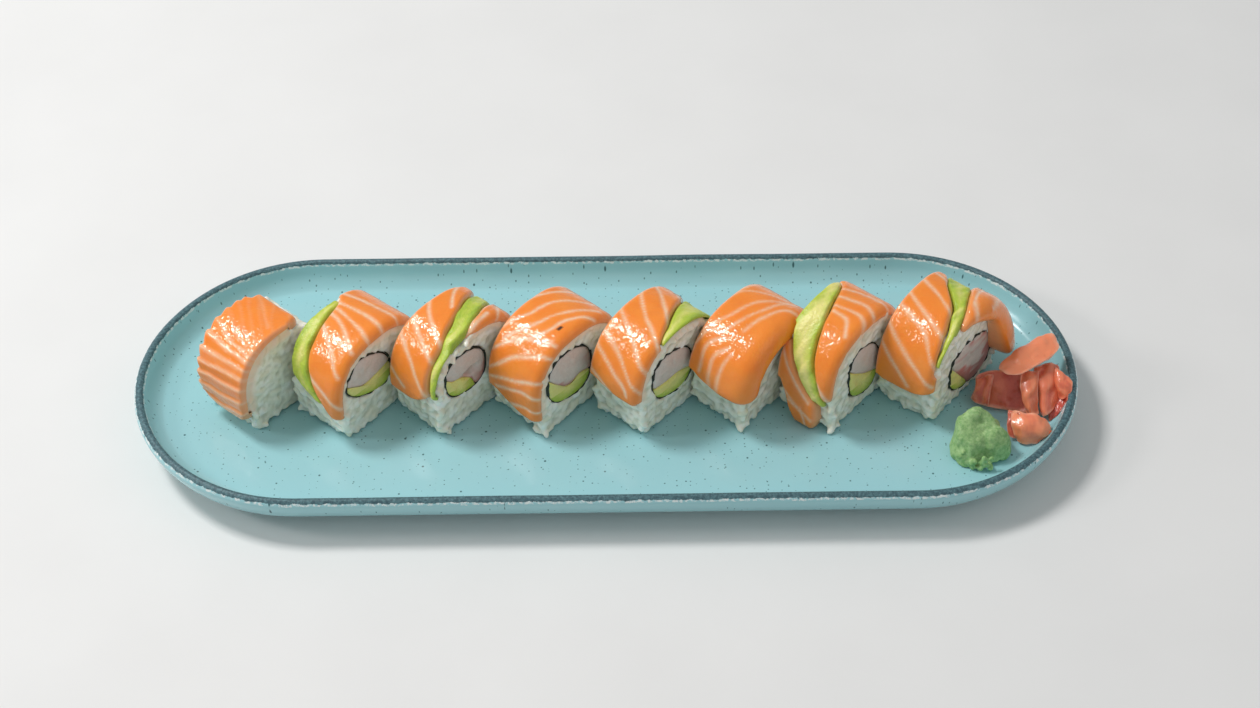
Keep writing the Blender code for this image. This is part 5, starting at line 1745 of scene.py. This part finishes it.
class URAMAKI_OT_plate(bpy.types.Operator):
    """Add the glazed plate"""

    bl_idname = "uramaki.plate"
    bl_label = "Add plate"

    def execute(self, context):
        build_plate(context.scene.uramaki_plate)
        return {"FINISHED"}


class URAMAKI_OT_rice(bpy.types.Operator):
    """Add the rice of every slice"""

    bl_idname = "uramaki.rice"
    bl_label = "Add rice"

    def execute(self, context):
        settings = context.scene.uramaki_rice
        material = cooked_rice(settings)
        template = grain_template()
        for number in SLICES:
            build_rice(number, settings, material, template)
        return {"FINISHED"}


class URAMAKI_OT_fillings(bpy.types.Operator):
    """Add the nori, the crab stick and the avocado inside every slice"""

    bl_idname = "uramaki.fillings"
    bl_label = "Add fillings"

    def execute(self, context):
        settings = context.scene.uramaki_filling
        nori = toasted_nori(settings)
        crab = pressed_surimi(settings)
        avocado = ripe_avocado(settings)
        for number in SLICES:
            build_nori(number, nori)
            build_filling(number, "crab_stick_%d" % number, crab, True, "edge_share", 0.5,
                          lambda flat, centre, share: crab_dye(number, flat, centre, share))
            build_filling(number, "avocado_wedge_%d" % number, avocado, False, "skin_share", 0.3,
                          lambda flat, centre, share: np.clip(
                              share * (0.55 - 0.35 * np.sign(flat[:, 1] - centre[1])), 0, 1))
        return {"FINISHED"}


class URAMAKI_OT_salmon(bpy.types.Operator):
    """Add the salmon"""

    bl_idname = "uramaki.salmon"
    bl_label = "Add salmon"

    def execute(self, context):
        settings = context.scene.uramaki_topping
        material = raw_salmon(settings)
        for name in SALMON:
            build_salmon(name, settings, material)
        return {"FINISHED"}


class URAMAKI_OT_avocado(bpy.types.Operator):
    """Add the avocado strips"""

    bl_idname = "uramaki.avocado"
    bl_label = "Add avocado"

    def execute(self, context):
        material = ripe_avocado(context.scene.uramaki_filling)
        for name in AVOCADO:
            build_avocado(name, context.scene.uramaki_topping, material)
        return {"FINISHED"}


class URAMAKI_OT_garnish(bpy.types.Operator):
    """Add the pickled ginger and the wasabi"""

    bl_idname = "uramaki.garnish"
    bl_label = "Add ginger and wasabi"

    def execute(self, context):
        settings = context.scene.uramaki_garnish
        material = pickled_ginger(settings)
        for name in GINGER:
            build_ginger(name, settings, material)
        build_wasabi(settings, wasabi_paste(settings))
        return {"FINISHED"}


class URAMAKI_PT_panel(bpy.types.Panel):
    """Lists the pieces in the sidebar"""

    bl_label = "Uramaki plate"
    bl_idname = "URAMAKI_PT_panel"
    bl_space_type = "VIEW_3D"
    bl_region_type = "UI"
    bl_category = "Uramaki"

    def draw(self, context):
        for operator in OPERATORS:
            self.layout.operator(operator.bl_idname)


OPERATORS = (URAMAKI_OT_stage, URAMAKI_OT_plate, URAMAKI_OT_rice, URAMAKI_OT_fillings, URAMAKI_OT_salmon,
             URAMAKI_OT_avocado, URAMAKI_OT_garnish)
SETTINGS = {"uramaki_plate": PlateSettings, "uramaki_rice": RiceSettings,
            "uramaki_filling": FillingSettings,
            "uramaki_topping": ToppingSettings, "uramaki_garnish": GarnishSettings,
            "uramaki_stage": StageSettings}


def register():
    for group in SETTINGS.values():
        bpy.utils.register_class(group)
    for name, group in SETTINGS.items():
        setattr(bpy.types.Scene, name, bpy.props.PointerProperty(type=group))
    for operator in OPERATORS:
        bpy.utils.register_class(operator)
    bpy.utils.register_class(URAMAKI_PT_panel)


def unregister():
    bpy.utils.unregister_class(URAMAKI_PT_panel)
    for operator in reversed(OPERATORS):
        bpy.utils.unregister_class(operator)
    for name in SETTINGS:
        delattr(bpy.types.Scene, name)
    for group in reversed(list(SETTINGS.values())):
        bpy.utils.unregister_class(group)


def main():
    register()
    bpy.ops.uramaki.stage()
    bpy.ops.uramaki.plate()
    bpy.ops.uramaki.rice()
    bpy.ops.uramaki.fillings()
    bpy.ops.uramaki.salmon()
    bpy.ops.uramaki.avocado()
    bpy.ops.uramaki.garnish()


if __name__ == "__main__":
    main()
